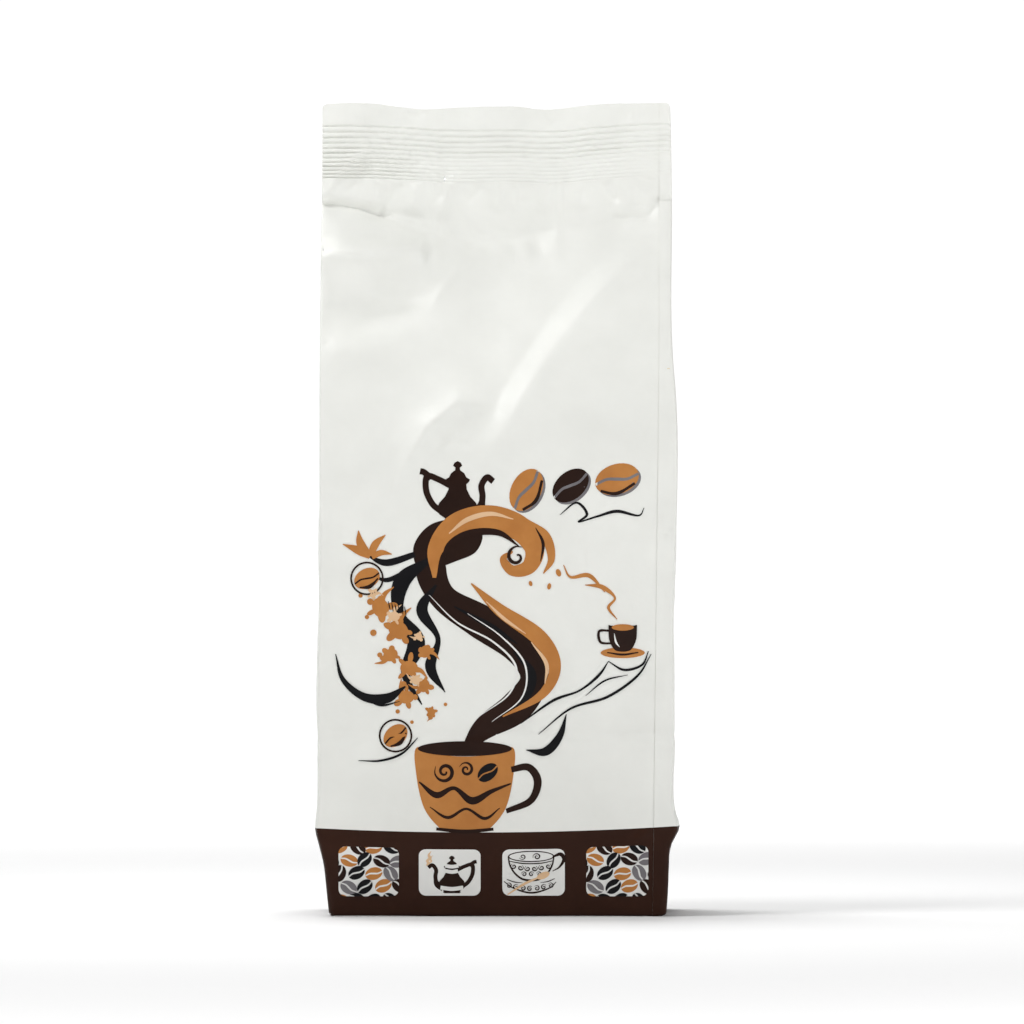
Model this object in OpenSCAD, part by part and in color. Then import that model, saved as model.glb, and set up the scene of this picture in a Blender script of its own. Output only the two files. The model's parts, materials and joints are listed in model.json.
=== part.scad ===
// Side-gusset, block-bottom coffee bag, filled and heat-sealed.
// Millimetres. The origin is at the middle of the base, +Z is up and the printed front faces -Y.

/* [Bag] */
// Width of the front face, between its two long edges
face_w = 100; // [80:1:130]
// Depth of the gussets, from front edge to back edge
gusset_d = 63; // [50:1:80]
// Height from the base to the top edge
bag_h = 229; // [215:1:260]

/* [Fill] */
// Height of the coffee inside
fill_h = 131; // [100:1:140]
// How far the front and back bulge in the middle
bulge = 6; // [2:0.5:9]
// Length of one coffee bean
bean_l = 10; // [8:0.5:12]

/* [Base] */
// Height of the printed band, where the rounding of the base begins
band_h = 24.4; // [16:0.2:32]
// How far the face draws in at the base, on each side
base_draw = 2.7; // [0:0.1:5]
// How far the front and back draw in at the base
base_draw_y = 3; // [0:0.1:5]
// Overlap of the two base flaps
base_lap = 14; // [8:1:24]
// How far behind the middle the overlap lies
lap_shift = 4; // [0:1:8]

/* [Top] */
// Length of the flat top, from the fold at the neck to the top edge
header_l = 28.5; // [24:0.5:36]
// Length of the free lip above the ribs
lip_l = 6.4; // [4:0.2:10]
// Number of cross ribs in the seal
ribs = 12; // [8:1:14]
// Distance from one rib to the next
rib_pitch = 1.22; // [1:0.01:1.3]
// Height of a rib
rib_h = 0.3; // [0.1:0.05:0.4]

/* [Sheets] */
// Thickness of the paper
paper_t = 0.2; // [0.12:0.01:0.25]
// Thickness of the inner film
film_t = 0.1; // [0.06:0.01:0.12]
// Width of the long lap on the front
lap_w = 5; // [4:0.5:9]
// Thickness of a line of glue
glue_t = 0.1; // [0.05:0.01:0.15]

/* [Hidden] */

white_paper = [0.93, 0.93, 0.91];
printed_brown = [0.17, 0.13, 0.10];
silver_film = [0.75, 0.76, 0.78];
glue_tan = [0.85, 0.76, 0.55];
roasted = [0.30, 0.17, 0.09];

// Heights of the main features. The sides stay full a little way below the top of the fill
shoulder_drop = 11;
neck_z = bag_h - header_l;
shoulder_z = fill_h - shoulder_drop;
crimp_top_z = bag_h - lip_l;

// Clear gap between neighbouring sheets
gap = 0.05;
// Half of a gusset, from its edge to its middle crease
half_gusset = gusset_d / 2;
// The rigid plies stop this far below and above the fold, to leave room for its turn
below_fold = 2;
above_fold = 1;
top_row_z = neck_z - below_fold;

// Sheets are drawn on rows of these heights, closer together where the bag curves
row_z = concat(
    [0, 3, 8, 15, band_h],
    [for (k = [1 : 4]) band_h + k * (shoulder_z - band_h) / 5],
    [for (k = [0 : 8]) shoulder_z + k * (top_row_z - shoulder_z) / 9],
    [top_row_z - 3, top_row_z]
);

// --- the shape of the bag, as functions of height ---

// Half the width of the face
function half_w(z) = face_w / 2 + lookup(z, [
    [0, -base_draw], [band_h, 0.8], [2.5 * band_h, 0.1], [fill_h, 0], [neck_z, -0.6], [bag_h, -0.8]
]);

// Half the depth at the long edges: full to the shoulder, then domed in to the neck
dome_flatness = 1.6;
dome_sharpness = 0.8;
full_d = half_gusset - 2 * gap;

function dome(z) =
    let (s = min(1, (z - shoulder_z) / (neck_z - shoulder_z)))
    pow(1 - pow(s, dome_flatness), dome_sharpness);

function half_d(z) =
    z < band_h ? full_d - base_draw_y * pow(1 - z / band_h, 2) :
    z < shoulder_z ? full_d :
    full_d * dome(z);

// How far the middle of the front and back stands out past their edges
function bulge_at(z) = bulge * lookup(z, [
    [0, 0], [band_h, 0.33], [2.5 * band_h, 1], [0.85 * fill_h, 1], [1.15 * fill_h, 0.67], [neck_z, 0]
]);

// How far the gusset's middle crease lies inside the long edges
open_crease = 3;

function crease_in(z) =
    z < shoulder_z ? open_crease * lookup(z, [[0, 0], [band_h, 0.7], [shoulder_z, 1]]) :
    max(open_crease, sqrt(pow(half_gusset, 2) - pow(half_d(z), 2)));

// Share of the gusset's turn inward: 0 with the gusset open, 1 with it folded flat
function folded(z) = crease_in(z) / half_gusset;

// Depth of the front's outer face at a place u across it, from -1 to 1
function face_y(u, z) = half_d(z) + bulge_at(z) * (1 - u * u);

// Space that the front's plies take from the gusset's depth, at the long edges
function edge_gap(z) = paper_t + film_t + 2 * gap + folded(z) * (paper_t + gap + film_t);

// A point of the right gusset at v, from -1 at the front to 1 at the back, set in by "depth"
function gusset_point(v, z, depth) =
    let (
        open_d = half_d(z) - edge_gap(z),
        sink = crease_in(z),
        slant = sqrt(open_d * open_d + sink * sink),
        side = v < 0 ? -1 : 1,
        square_on = open_d / slant,
        crease_depth = min(depth / square_on, 2 * depth)
    )
    abs(v) < 0.001
        ? [half_w(z) - sink - crease_depth, 0, z]
        : [half_w(z) - sink * (1 - abs(v)) - depth * square_on,
           side * (open_d * abs(v) + depth * sink / slant), z];

// A point of the front, set in from its outer face by "depth" and from its long edges by "inset"
function front_point(u, z, depth, inset) = [u * (half_w(z) - inset), depth - face_y(u, z), z];

// --- a thin closed solid between two grids of points ---

module sheet(outer, inner) {
    rows = len(outer);
    cols = len(outer[0]);
    count = rows * cols;
    function at(r, c, layer) = layer * count + r * cols + c;
    points = concat(
        [for (row = outer) for (p = row) p],
        [for (row = inner) for (p = row) p]
    );
    skins = [
        for (r = [0 : rows - 2]) for (c = [0 : cols - 2])
            each [
                [at(r, c, 0), at(r + 1, c, 0), at(r + 1, c + 1, 0)],
                [at(r, c, 0), at(r + 1, c + 1, 0), at(r, c + 1, 0)],
                [at(r, c, 1), at(r + 1, c + 1, 1), at(r + 1, c, 1)],
                [at(r, c, 1), at(r, c + 1, 1), at(r + 1, c + 1, 1)]
            ]
    ];
    ends = [
        for (c = [0 : cols - 2])
            each [
                [at(0, c, 0), at(0, c + 1, 0), at(0, c + 1, 1)],
                [at(0, c, 0), at(0, c + 1, 1), at(0, c, 1)],
                [at(rows - 1, c, 0), at(rows - 1, c + 1, 1), at(rows - 1, c + 1, 0)],
                [at(rows - 1, c, 0), at(rows - 1, c, 1), at(rows - 1, c + 1, 1)]
            ]
    ];
    sides = [
        for (r = [0 : rows - 2])
            each [
                [at(r, 0, 0), at(r + 1, 0, 1), at(r + 1, 0, 0)],
                [at(r, 0, 0), at(r, 0, 1), at(r + 1, 0, 1)],
                [at(r, cols - 1, 0), at(r + 1, cols - 1, 0), at(r + 1, cols - 1, 1)],
                [at(r, cols - 1, 0), at(r + 1, cols - 1, 1), at(r, cols - 1, 1)]
            ]
    ];
    polyhedron(points = points, faces = concat(skins, ends, sides), convexity = 6);
}

// A strip of the front from u0 to u1, in a number of steps, between two depths
module front_strip(u0, u1, steps, depth0, depth1, inset) {
    function grid(depth) = [
        for (z = row_z) [
            for (k = [0 : steps]) front_point(u0 + (u1 - u0) * k / steps, z, depth, inset)
        ]
    ];
    sheet(grid(depth0), grid(depth1));
}

// The right gusset between two depths
module gusset_strip(steps, depth0, depth1) {
    function grid(depth) = [
        for (z = row_z) [for (k = [0 : steps]) gusset_point(2 * k / steps - 1, z, depth)]
    ];
    sheet(grid(depth0), grid(depth1));
}

// --- outer paper ---

module front_panel() {
    color(white_paper) front_strip(-1, 1, 12, 0, paper_t, 0);
}

module back_panel() {
    color(white_paper) rotate([0, 0, 180]) front_strip(-1, 1, 12, 0, paper_t, 0);
}

module gusset_right() {
    color(white_paper) gusset_strip(12, 0, paper_t);
}

module gusset_left() {
    color(white_paper) rotate([0, 0, 180]) gusset_strip(12, 0, paper_t);
}

// The lap lies on the front and ends just inside its right edge, over a narrower line of glue
lap_u1 = 0.99;
lap_u0 = lap_u1 - 2 * lap_w / face_w;
glue_margin = 0.01;
lap_out = -glue_t - 2 * gap;

module seam_flap() {
    color(white_paper) front_strip(lap_u0, lap_u1, 2, lap_out - paper_t, lap_out, 0);
}

module seam_glue() {
    color(glue_tan)
        front_strip(lap_u0 + glue_margin, lap_u1 - glue_margin, 1, -gap - glue_t, -gap, 0);
}

// --- folded base ---

// The flaps lie inside the panels and the film, so their outline is this far inside the bag's
base_inset = paper_t + film_t + 5 * gap;
base_x = half_w(0) - base_inset;
base_y = half_d(0) - base_inset;
// The front flap lies flat to this line, and the back flap steps up over it
flap_edge_y = base_lap / 2 + lap_shift;
joggle = 1.5;
flap_up_z = paper_t + glue_t + 2 * gap;
tuck_z = flap_up_z + paper_t + gap;

module base_flap_front() {
    color(printed_brown)
        translate([-base_x, -base_y, 0])
            cube([2 * base_x, base_y + flap_edge_y, paper_t]);
}

module base_flap_back() {
    lap_end = flap_edge_y - base_lap;
    color(printed_brown)
        translate([-base_x, 0, 0])
            rotate([90, 0, 90])
                linear_extrude(2 * base_x)
                    polygon([
                        [base_y, 0], [base_y, paper_t],
                        [flap_edge_y + gap + joggle, paper_t],
                        [flap_edge_y - joggle, flap_up_z + paper_t],
                        [lap_end, flap_up_z + paper_t], [lap_end, flap_up_z],
                        [flap_edge_y - joggle, flap_up_z],
                        [flap_edge_y - gap, paper_t + gap], [flap_edge_y + gap, 0]
                    ]);
}

module base_glue() {
    side_margin = 4;
    color(glue_tan)
        translate([side_margin - base_x, flap_edge_y - base_lap + 1, paper_t + gap])
            cube([2 * (base_x - side_margin), base_lap - joggle - 2, glue_t]);
}

// One tuck is a four-sided flap that reaches half the base's depth inward, with slanting sides
module base_tuck() {
    tip = 4;
    translate([0, 0, tuck_z])
        linear_extrude(paper_t)
            polygon([
                [base_x, -base_y], [base_x, base_y],
                [base_x - base_y, tip], [base_x - base_y, -tip]
            ]);
}

module base_tuck_right() {
    color(white_paper) base_tuck();
}

module base_tuck_left() {
    color(white_paper) mirror([1, 0, 0]) base_tuck();
}

// --- inner film ---

liner_out = paper_t + gap;
liner_in = liner_out + film_t;

module liner_front() {
    color(silver_film) front_strip(-1, 1, 12, liner_out, liner_in, liner_out);
}

module liner_back() {
    color(silver_film) rotate([0, 0, 180]) front_strip(-1, 1, 12, liner_out, liner_in, liner_out);
}

module liner_gusset_right() {
    color(silver_film) gusset_strip(12, liner_out, liner_in);
}

module liner_gusset_left() {
    color(silver_film) rotate([0, 0, 180]) gusset_strip(12, liner_out, liner_in);
}

liner_base_z = tuck_z + paper_t + gap;

module liner_base() {
    color(silver_film)
        translate([-base_x, -base_y, liner_base_z])
            cube([2 * base_x, 2 * base_y, film_t]);
}

liner_seam_u = 0.06;

module liner_seam() {
    color(silver_film)
        rotate([0, 0, 180])
            front_strip(-liner_seam_u, liner_seam_u, 2, liner_in + gap, liner_in + gap + film_t, liner_in);
}

// --- coffee ---

// The fill keeps this far from the film
fill_inset = 1;

// One closed ring of the fill's outline at height z, anticlockwise from the front left corner
function fill_ring(z) =
    let (
        w = half_w(z) - liner_in - fill_inset,
        d = half_d(z) - liner_in - fill_inset,
        sink = crease_in(z),
        front = [for (k = [0 : 11]) let(u = k / 6 - 1) [u * w, -d - bulge_at(z) * (1 - u * u)]],
        right = [for (k = [0 : 3]) let(v = k / 2 - 1) [w - sink * (1 - abs(v)), v * d]],
        half = concat(front, right)
    )
    [for (turn = [1, -1]) for (p = half) [turn * p[0], turn * p[1], z]];

module coffee_bulk() {
    low = liner_base_z + film_t + 2 * gap;
    heights = concat([low], [for (z = row_z) if (z > low && z < fill_h - fill_inset) z], [fill_h]);
    rings = [for (z = heights) fill_ring(z)];
    n = len(rings[0]);
    top = (len(heights) - 1) * n;
    low_middle = len(heights) * n;
    top_middle = low_middle + 1;
    middles = [[0, 0, low], [0, 0, fill_h]];
    walls = [
        for (r = [0 : len(heights) - 2]) for (k = [0 : n - 1])
            each [
                [r * n + k, (r + 1) * n + k, (r + 1) * n + (k + 1) % n],
                [r * n + k, (r + 1) * n + (k + 1) % n, r * n + (k + 1) % n]
            ]
    ];
    caps = [
        for (k = [0 : n - 1])
            each [[low_middle, k, (k + 1) % n], [top_middle, top + (k + 1) % n, top + k]]
    ];
    color(roasted)
        polyhedron(points = concat([for (ring = rings) for (p = ring) p], middles),
                   faces = concat(walls, caps), convexity = 6);
}

// Half a bean, domed below its flat face, with a slit along the flat
bean_r = 0.36 * bean_l;
bean_gap = 0.3;

module bean() {
    outline = [for (a = [-90 : 30 : 90]) [bean_r * cos(a), bean_l / 2 * sin(a)]];
    difference() {
        rotate([-90, 0, 0])
            rotate([0, 90, 0])
                rotate_extrude(angle = 180, $fn = 32)
                    polygon(outline);
        cube([0.8 * bean_l, 0.07 * bean_l, 0.1 * bean_l], center = true);
    }
}

// Beans lie in staggered rows on the settled fill, each turned its own way
module coffee_beans() {
    step = 1.06 * bean_l;
    color(roasted)
        for (j = [-2 : 2])
            for (i = [-3 : 3 - abs(j % 2)]) {
                flat_up = (i + j) % 2 == 0;
                x = (i + 0.5 * abs(j % 2)) * step;
                translate([x, j * step, fill_h + bean_gap + (flat_up ? bean_r : 0)])
                    rotate([flat_up ? 0 : 180, 0, (i * 67 + j * 41) % 180])
                        bean();
            }
}

// --- neck and flat top ---

// Half the thickness of the flat top: paper, film, film and paper, folded twice over
half_stack = 2 * paper_t + 2 * film_t + 4 * gap;
header_low_z = neck_z + above_fold;
crimp_low_z = crimp_top_z - ribs * rib_pitch;
header_half_w = half_w(bag_h);

module neck_crease() {
    crease_r = 0.75 * half_stack;
    color(white_paper)
        translate([0, 0, neck_z])
            rotate([0, 90, 0])
                cylinder(r = crease_r, h = 2 * header_half_w, center = true);
}

// Side view of the front ply: flat, with one small ridge for each rib
module header_ply(half_width) {
    flat = half_stack - paper_t;
    ridges = [
        for (k = [0 : ribs - 1])
            let (z = crimp_low_z + k * rib_pitch)
            each [
                [half_stack, z],
                [half_stack + rib_h, z + 0.35 * rib_pitch],
                [half_stack + rib_h, z + 0.65 * rib_pitch]
            ]
    ];
    translate([-half_width, 0, 0])
        rotate([90, 0, 90])
            linear_extrude(2 * half_width)
                polygon(concat(
                    [[flat, header_low_z], [half_stack, header_low_z]],
                    ridges,
                    [[half_stack, crimp_top_z], [half_stack, bag_h], [flat, bag_h]]
                ));
}

module header_front() {
    color(white_paper) rotate([0, 0, 180]) header_ply(header_half_w);
}

module header_back() {
    color(white_paper) header_ply(header_half_w);
}

// The folded gusset between the plies is a flat U, open at the long edge
module header_tuck() {
    inner = gap;
    outer = gap + paper_t;
    far = header_half_w - half_gusset;
    translate([0, 0, header_low_z])
        linear_extrude(bag_h - header_low_z)
            polygon([
                [header_half_w, -outer], [header_half_w, -inner],
                [far + paper_t, -inner], [far + paper_t, inner],
                [header_half_w, inner], [header_half_w, outer],
                [far, outer], [far, -outer]
            ]);
}

module header_tuck_right() {
    color(white_paper) header_tuck();
}

module header_tuck_left() {
    color(white_paper) mirror([1, 0, 0]) header_tuck();
}

// The fused film fills the middle and runs out along both sides of each tuck
module film_seal() {
    outer = half_stack - paper_t - gap;
    inner = paper_t + 2 * gap;
    end = header_half_w - gap;
    far = header_half_w - half_gusset - gap;
    film_drop = 0.5;
    color(silver_film)
        translate([0, 0, header_low_z])
            linear_extrude(bag_h - header_low_z - film_drop)
                polygon([
                    [-end, -outer], [end, -outer], [end, -inner], [far, -inner],
                    [far, inner], [end, inner], [end, outer], [-end, outer],
                    [-end, inner], [-far, inner], [-far, -inner], [-end, -inner]
                ]);
}

module header_seam_flap() {
    out = half_stack + rib_h + gap;
    color(white_paper)
        translate([lap_u0 * header_half_w, -out - paper_t, crimp_low_z])
            cube([(lap_u1 - lap_u0) * header_half_w, paper_t, bag_h - crimp_low_z]);
}

front_panel();
back_panel();
gusset_left();
gusset_right();
seam_flap();
seam_glue();
base_tuck_left();
base_tuck_right();
base_flap_back();
base_flap_front();
base_glue();
liner_front();
liner_back();
liner_gusset_left();
liner_gusset_right();
liner_base();
liner_seam();
coffee_bulk();
coffee_beans();
neck_crease();
header_front();
header_back();
header_tuck_left();
header_tuck_right();
header_seam_flap();
film_seal();
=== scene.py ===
"""A filled side-gusset coffee bag: its looks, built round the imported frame.

Shapes are worked out in millimetres and written to Blender in metres, in the frame's own axes:
+Z is up, the printed front faces -Y, and the origin is at the middle of the base.
"""
import json
import math
import random

import bpy
import numpy as np
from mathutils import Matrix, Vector, geometry


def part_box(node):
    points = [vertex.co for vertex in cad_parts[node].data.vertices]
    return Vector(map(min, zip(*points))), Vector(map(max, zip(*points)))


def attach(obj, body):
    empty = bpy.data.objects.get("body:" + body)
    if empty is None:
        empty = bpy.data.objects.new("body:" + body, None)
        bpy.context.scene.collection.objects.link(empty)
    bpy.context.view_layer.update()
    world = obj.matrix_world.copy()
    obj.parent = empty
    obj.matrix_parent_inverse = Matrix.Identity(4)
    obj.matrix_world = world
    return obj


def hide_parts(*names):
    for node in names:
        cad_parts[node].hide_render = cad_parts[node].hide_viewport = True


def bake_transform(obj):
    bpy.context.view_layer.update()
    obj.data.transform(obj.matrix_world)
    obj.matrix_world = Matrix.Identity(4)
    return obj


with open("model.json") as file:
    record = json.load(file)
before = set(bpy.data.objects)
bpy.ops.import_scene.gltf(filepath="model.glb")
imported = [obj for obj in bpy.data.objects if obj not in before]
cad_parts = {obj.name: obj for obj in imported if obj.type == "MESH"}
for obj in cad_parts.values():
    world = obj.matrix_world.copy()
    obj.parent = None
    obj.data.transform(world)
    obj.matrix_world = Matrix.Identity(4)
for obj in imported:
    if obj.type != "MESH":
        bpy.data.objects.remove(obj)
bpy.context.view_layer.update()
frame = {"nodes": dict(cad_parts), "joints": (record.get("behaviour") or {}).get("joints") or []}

MM = 0.001

# ---------------------------------------------------------------- sizes, from the frame

HINGE = next(j for j in frame["joints"] if j["name"] == "header_fold")
NECK_Z = HINGE["pos_m"][2] / MM
TOP_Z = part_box("header_front")[1].z / MM
PANEL_TOP_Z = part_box("front_panel")[1].z / MM
GUSSET = (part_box("header_tuck_right")[1].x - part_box("header_tuck_right")[0].x) / MM
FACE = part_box("header_front")[1].x / MM + 0.8  # half the face, where it isn't drawn in
FILL_TOP_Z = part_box("coffee_bulk")[1].z / MM
SHOULDER_Z = FILL_TOP_Z - 11

PAPER = 0.18  # thickness of the visible paper
FILM_THICK = 0.1
STACK_SIDE = 0.8  # half the header's thickness over the folded gussets
STACK_MIDDLE = 0.36  # and between them
BASE_ROUND = 1.3  # radius of the fold round the base
BAND_Z = 25.1  # top of the printed band, at the edges of the face
BULGE = 5.7  # how far the front and back stand out in the middle

RIBS = 12
RIB_PITCH = 1.22
CRIMP_TOP = TOP_Z - 6.4
CRIMP_LOW = CRIMP_TOP - RIBS * RIB_PITCH

# Spacing of the mesh rows: up the front and back, and over the neck, the ribs and the lip
FRONT_ROW, BACK_ROW = 1.02, 1.6
NECK_ROW, RIB_ROW, LIP_ROW = 0.42, 0.153, 0.55


def smooth(t):
    t = np.clip(t, 0.0, 1.0)
    return t * t * (3 - 2 * t)


def spline(at, knots):
    """A smooth curve through (place, value) knots."""
    places = np.array([k[0] for k in knots], float)
    values = np.array([k[1] for k in knots], float)
    slopes = np.gradient(values, places)
    at = np.clip(at, places[0], places[-1])
    i = np.clip(np.searchsorted(places, at, side="right") - 1, 0, len(places) - 2)
    span = places[i + 1] - places[i]
    t = (at - places[i]) / span
    return (
        (2 * t**3 - 3 * t**2 + 1) * values[i]
        + (t**3 - 2 * t**2 + t) * span * slopes[i]
        + (3 * t**2 - 2 * t**3) * values[i + 1]
        + (t**3 - t**2) * span * slopes[i + 1]
    )


# ---------------------------------------------------------------- the bag's form


def base_round_in(z):
    """How far the outline draws in at height z as the paper folds under the base."""
    rest = np.clip(BASE_ROUND - z, 0, BASE_ROUND)
    return BASE_ROUND - np.sqrt(BASE_ROUND**2 - rest**2)


def left_x(z):
    """The left long edge at height z."""
    return base_round_in(z) + spline(z, [
        (0, -FACE + 2.9), (8, -FACE + 2.1), (14, -FACE + 1.5), (20, -FACE + 0.3), (24.4, -FACE - 0.7),
        (31, -FACE - 0.3), (60, -FACE - 0.4), (92, -FACE + 0.1), (165, -FACE + 0.2), (TOP_Z, -FACE + 0.6),
    ])


def right_x(z):
    """The right long edge at height z."""
    return -base_round_in(z) + spline(z, [
        (0, FACE - 2.5), (8, FACE - 2.0), (14, FACE - 1.8), (20, FACE - 1.3), (24.4, FACE + 0.7),
        (29, FACE - 0.3), (50, FACE - 0.4), (92, FACE - 0.4), (104, FACE + 0.1), (147, FACE + 0.1),
        (156, FACE - 0.6), (205, FACE - 0.7), (TOP_Z, FACE - 1.2),
    ])


def corner_r(z):
    """Radius of the long edges: soft at the base, a hard crease at the top."""
    return np.interp(z, [0, 24, SHOULDER_Z, NECK_Z - 12, NECK_Z], [2.0, 1.2, 0.9, 0.5, 0.28])


def stack(x):
    """Half the thickness of the flat header, which steps where the gussets end."""
    gusset_end, step = 15.4, 1.5
    return STACK_MIDDLE + (STACK_SIDE - STACK_MIDDLE) * smooth((np.abs(x) - gusset_end) / step)


# Where the pressed top ends and the pouch opens: it sags between the long edges
NECK_LINE = [
    (-50, 200.7), (-44, 199.9), (-31, 196.6), (-19, 192.4), (-8, 190.2), (4, 191.0), (15, 193.8),
    (26, 195.4), (36, 197.0), (43, 199.0), (47, 200.4), (50, 200.8),
]


def depth(x, z):
    """Distance from the middle plane to the plain front or back."""
    full = GUSSET - 0.1 - 2.9 * np.clip(1 - z / 24.4, 0, 1) ** 2
    s = np.clip((z - SHOULDER_Z) / (spline(x, NECK_LINE) - SHOULDER_Z), 0, 1)
    dome = (1 - s**1.6) ** 0.8
    u = np.clip(np.abs(x) / FACE, 0, 1)
    swell = BULGE * spline(z, [
        (0, 0), (12, 0.15), (24, 0.33), (61, 1), (111, 1), (150, 0.67), (180, 0.22), (NECK_Z, 0),
    ])
    flat = stack(x)
    flat = flat + (STACK_SIDE - flat) * smooth((193 - z) / 14)
    rise = (full - flat) * dome + np.maximum(swell, 0) * (1 - u**2) ** 1.2
    softness = 1.6 + 4.2 * np.exp(-(((x + 3) / 17) ** 2)) + 4.0 * smooth((x - 2) / 18)
    bend = softness * smooth((z - SHOULDER_Z) / 60)
    return flat + rise**2 / (rise + bend + 1e-9) - base_round_in(z)


def crease_in(z):
    """How far the gusset's middle crease lies inside the long edges."""
    d = depth(FACE, z)
    filled = np.interp(z, [0, 8, 24, SHOULDER_Z], [0.2, 1.2, 2.4, 3.4])
    flattened = np.sqrt(np.maximum(GUSSET**2 - d**2, 0))
    return np.where(z > SHOULDER_Z, np.maximum(filled, flattened), filled)


# ---------------------------------------------------------------- folds and crumples


def nearest_on(x, z, path):
    """Distance to a path, its side (1 is the right), the length along it there, and the whole length."""
    points = np.array(path, float)
    lengths = np.hypot(*(points[1:] - points[:-1]).T)
    best = np.full(np.shape(x), 1e9)
    side = np.zeros(np.shape(x))
    along = np.zeros(np.shape(x))
    done = 0.0
    for (x0, z0), (x1, z1), length in zip(points[:-1], points[1:], lengths):
        t = np.clip(((x - x0) * (x1 - x0) + (z - z0) * (z1 - z0)) / length**2, 0, 1)
        gap = np.hypot(x - x0 - t * (x1 - x0), z - z0 - t * (z1 - z0))
        closer = gap < best
        best = np.where(closer, gap, best)
        side = np.where(closer, np.sign((z1 - z0) * (x - x0) - (x1 - x0) * (z - z0)), side)
        along = np.where(closer, done + t * length, along)
        done += length
    return best, side, along, lengths.sum()


def ends_taper(along, total, ends):
    """Rises from nothing at both ends of a path, over a share of its length."""
    return smooth(along / (ends * total)) * smooth((total - along) / (ends * total))


def fold(x, z, path, width, height, ends=0.25):
    """A soft ridge, or a valley if height is negative, along a path of (x, z) points."""
    out = np.zeros_like(x)
    low, high = np.min(path, axis=0) - 5 * width, np.max(path, axis=0) + 5 * width
    near = (x > low[0]) & (x < high[0]) & (z > low[1]) & (z < high[1])
    if not near.any():
        return out
    best, _, along, total = nearest_on(x[near], z[near], path)
    crest = 0.35  # rounds the top of the ridge
    profile = np.exp(crest - np.sqrt((best / width) ** 2 + crest**2))
    out[near] = height * profile * ends_taper(along, total, ends)
    return out


def terrace(x, z, path, width, height, slack):
    """A soft step up across a path of (x, z) points, on its right going along, that eases back over slack."""
    best, side, along, total = nearest_on(x, z, path)
    far = best * side
    step = smooth(far / width + 0.5) * np.exp(-np.maximum(far - width / 2, 0) / slack)
    return height * step * ends_taper(along, total, 0.3)


def dent(x, z, at, radii, height, turn=0.0):
    """A round swelling or hollow with its middle at (x, z)."""
    c, s = math.cos(math.radians(turn)), math.sin(math.radians(turn))
    dx, dz = x - at[0], z - at[1]
    a = (dx * c + dz * s) / radii[0]
    b = (dz * c - dx * s) / radii[1]
    return height * np.exp(-(a**2) - b**2)


def ripple(x, z, seed, longest, shortest, count, height):
    """A sum of smooth waves with lengths between two limits."""
    rng = random.Random(seed)
    total = np.zeros_like(x)
    for _ in range(count):
        length = rng.uniform(shortest, longest)
        angle = rng.uniform(0, math.pi)
        phase = rng.uniform(0, 2 * math.pi)
        k = 2 * math.pi / length
        total += np.cos(k * (x * math.cos(angle) + z * math.sin(angle)) + phase) * length / longest
    return height * total / math.sqrt(count)


def crumples(x, z, seed, count, z_range, heights, widths, lengths):
    """Short creases lying all ways."""
    rng = random.Random(seed)
    total = np.zeros_like(x)
    for _ in range(count):
        cx, cz = rng.uniform(-46, 46), rng.uniform(*z_range)
        angle = rng.uniform(0, math.pi)
        half = rng.uniform(*lengths) / 2
        bend = rng.uniform(-0.15, 0.15) * half
        dx, dz = half * math.cos(angle), half * math.sin(angle)
        middle = (cx - bend * math.sin(angle), cz + bend * math.cos(angle))
        path = [(cx - dx, cz - dz), middle, (cx + dx, cz + dz)]
        height = rng.uniform(*heights) * rng.choice((-1, 1))
        total += fold(x, z, path, rng.uniform(*widths), height, 0.45)
    return total


# The folds that give the front its own look: path, width, height and the share that tapers at each end
FRONT_FOLDS = [
    # the cross crease above the base, with a light lip under it
    ([(-51, 51.2), (-22, 50.8), (10, 51.3), (33, 50.7), (51, 51.1)], 1.1, -0.55, 0.01),
    ([(-51, 48.9), (0, 48.6), (51, 49.0)], 2.2, 0.3, 0.01),
    # the roll at the left shoulder, and the crease that leads from it
    ([(-51, 185.4), (-40, 186.2), (-28, 186.8), (-19, 188.0)], 2.8, 2.4, 0.08),
    ([(-51, 191.6), (-40, 191.9), (-28, 191.6)], 0.8, -0.45, 0.1),
    # the arch to the left of the long slanting step, with a pocket under it
    ([(-33, 112), (-27.4, 124), (-19.6, 137), (-10.6, 145), (-3.4, 143), (-0.6, 136)], 3.0, 1.9, 0.3),
    ([(-19, 129), (-12, 134), (-5.4, 131)], 2.0, -1.0, 0.4),
    ([(-18.2, 189), (-18.8, 184)], 0.8, -0.4, 0.3),
    ([(-20, 168), (-16.6, 175), (-10.4, 182.6), (-3.4, 187.6), (6, 190)], 0.9, 0.5, 0.2),
    ([(34, 190.2), (40, 192), (47, 192.6)], 0.5, -0.35, 0.3),
    # nicks at the edges of the face
    ([(-50, 187), (-46.5, 187.3)], 0.5, -0.5, 0.4),
    ([(-50, 171.4), (-45.5, 171)], 0.6, -0.4, 0.4),
    ([(-50, 160.2), (-47, 160.6)], 0.5, -0.4, 0.4),
    ([(50, 180.3), (46.5, 180)], 0.5, -0.5, 0.4),
    ([(50, 154), (46, 153)], 0.6, -0.5, 0.4),
    ([(50, 108.4), (45.5, 106)], 1.0, -0.7, 0.4),
    ([(-50, 84), (-46, 83)], 0.7, -0.4, 0.4),
    # faint press lines down the right of the face
    ([(26, 170), (26.2, 28)], 0.5, 0.07, 0.2),
    ([(30.3, 150), (30.5, 28)], 0.5, -0.06, 0.2),
    # the small crease in the band's right corner
    ([(37.8, 21), (40.6, 22.4), (44, 25)], 0.6, 0.35, 0.3),
]

# The long soft step that slants down the front from the right shoulder: path, width, height and slack
LONG_STEP = (
    [(-7, 121), (-3.4, 131), (0.4, 140), (7.8, 152.5), (17.6, 167), (26, 177), (37, 187), (48, 195)],
    7.0, 2.3, 24,
)

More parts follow.
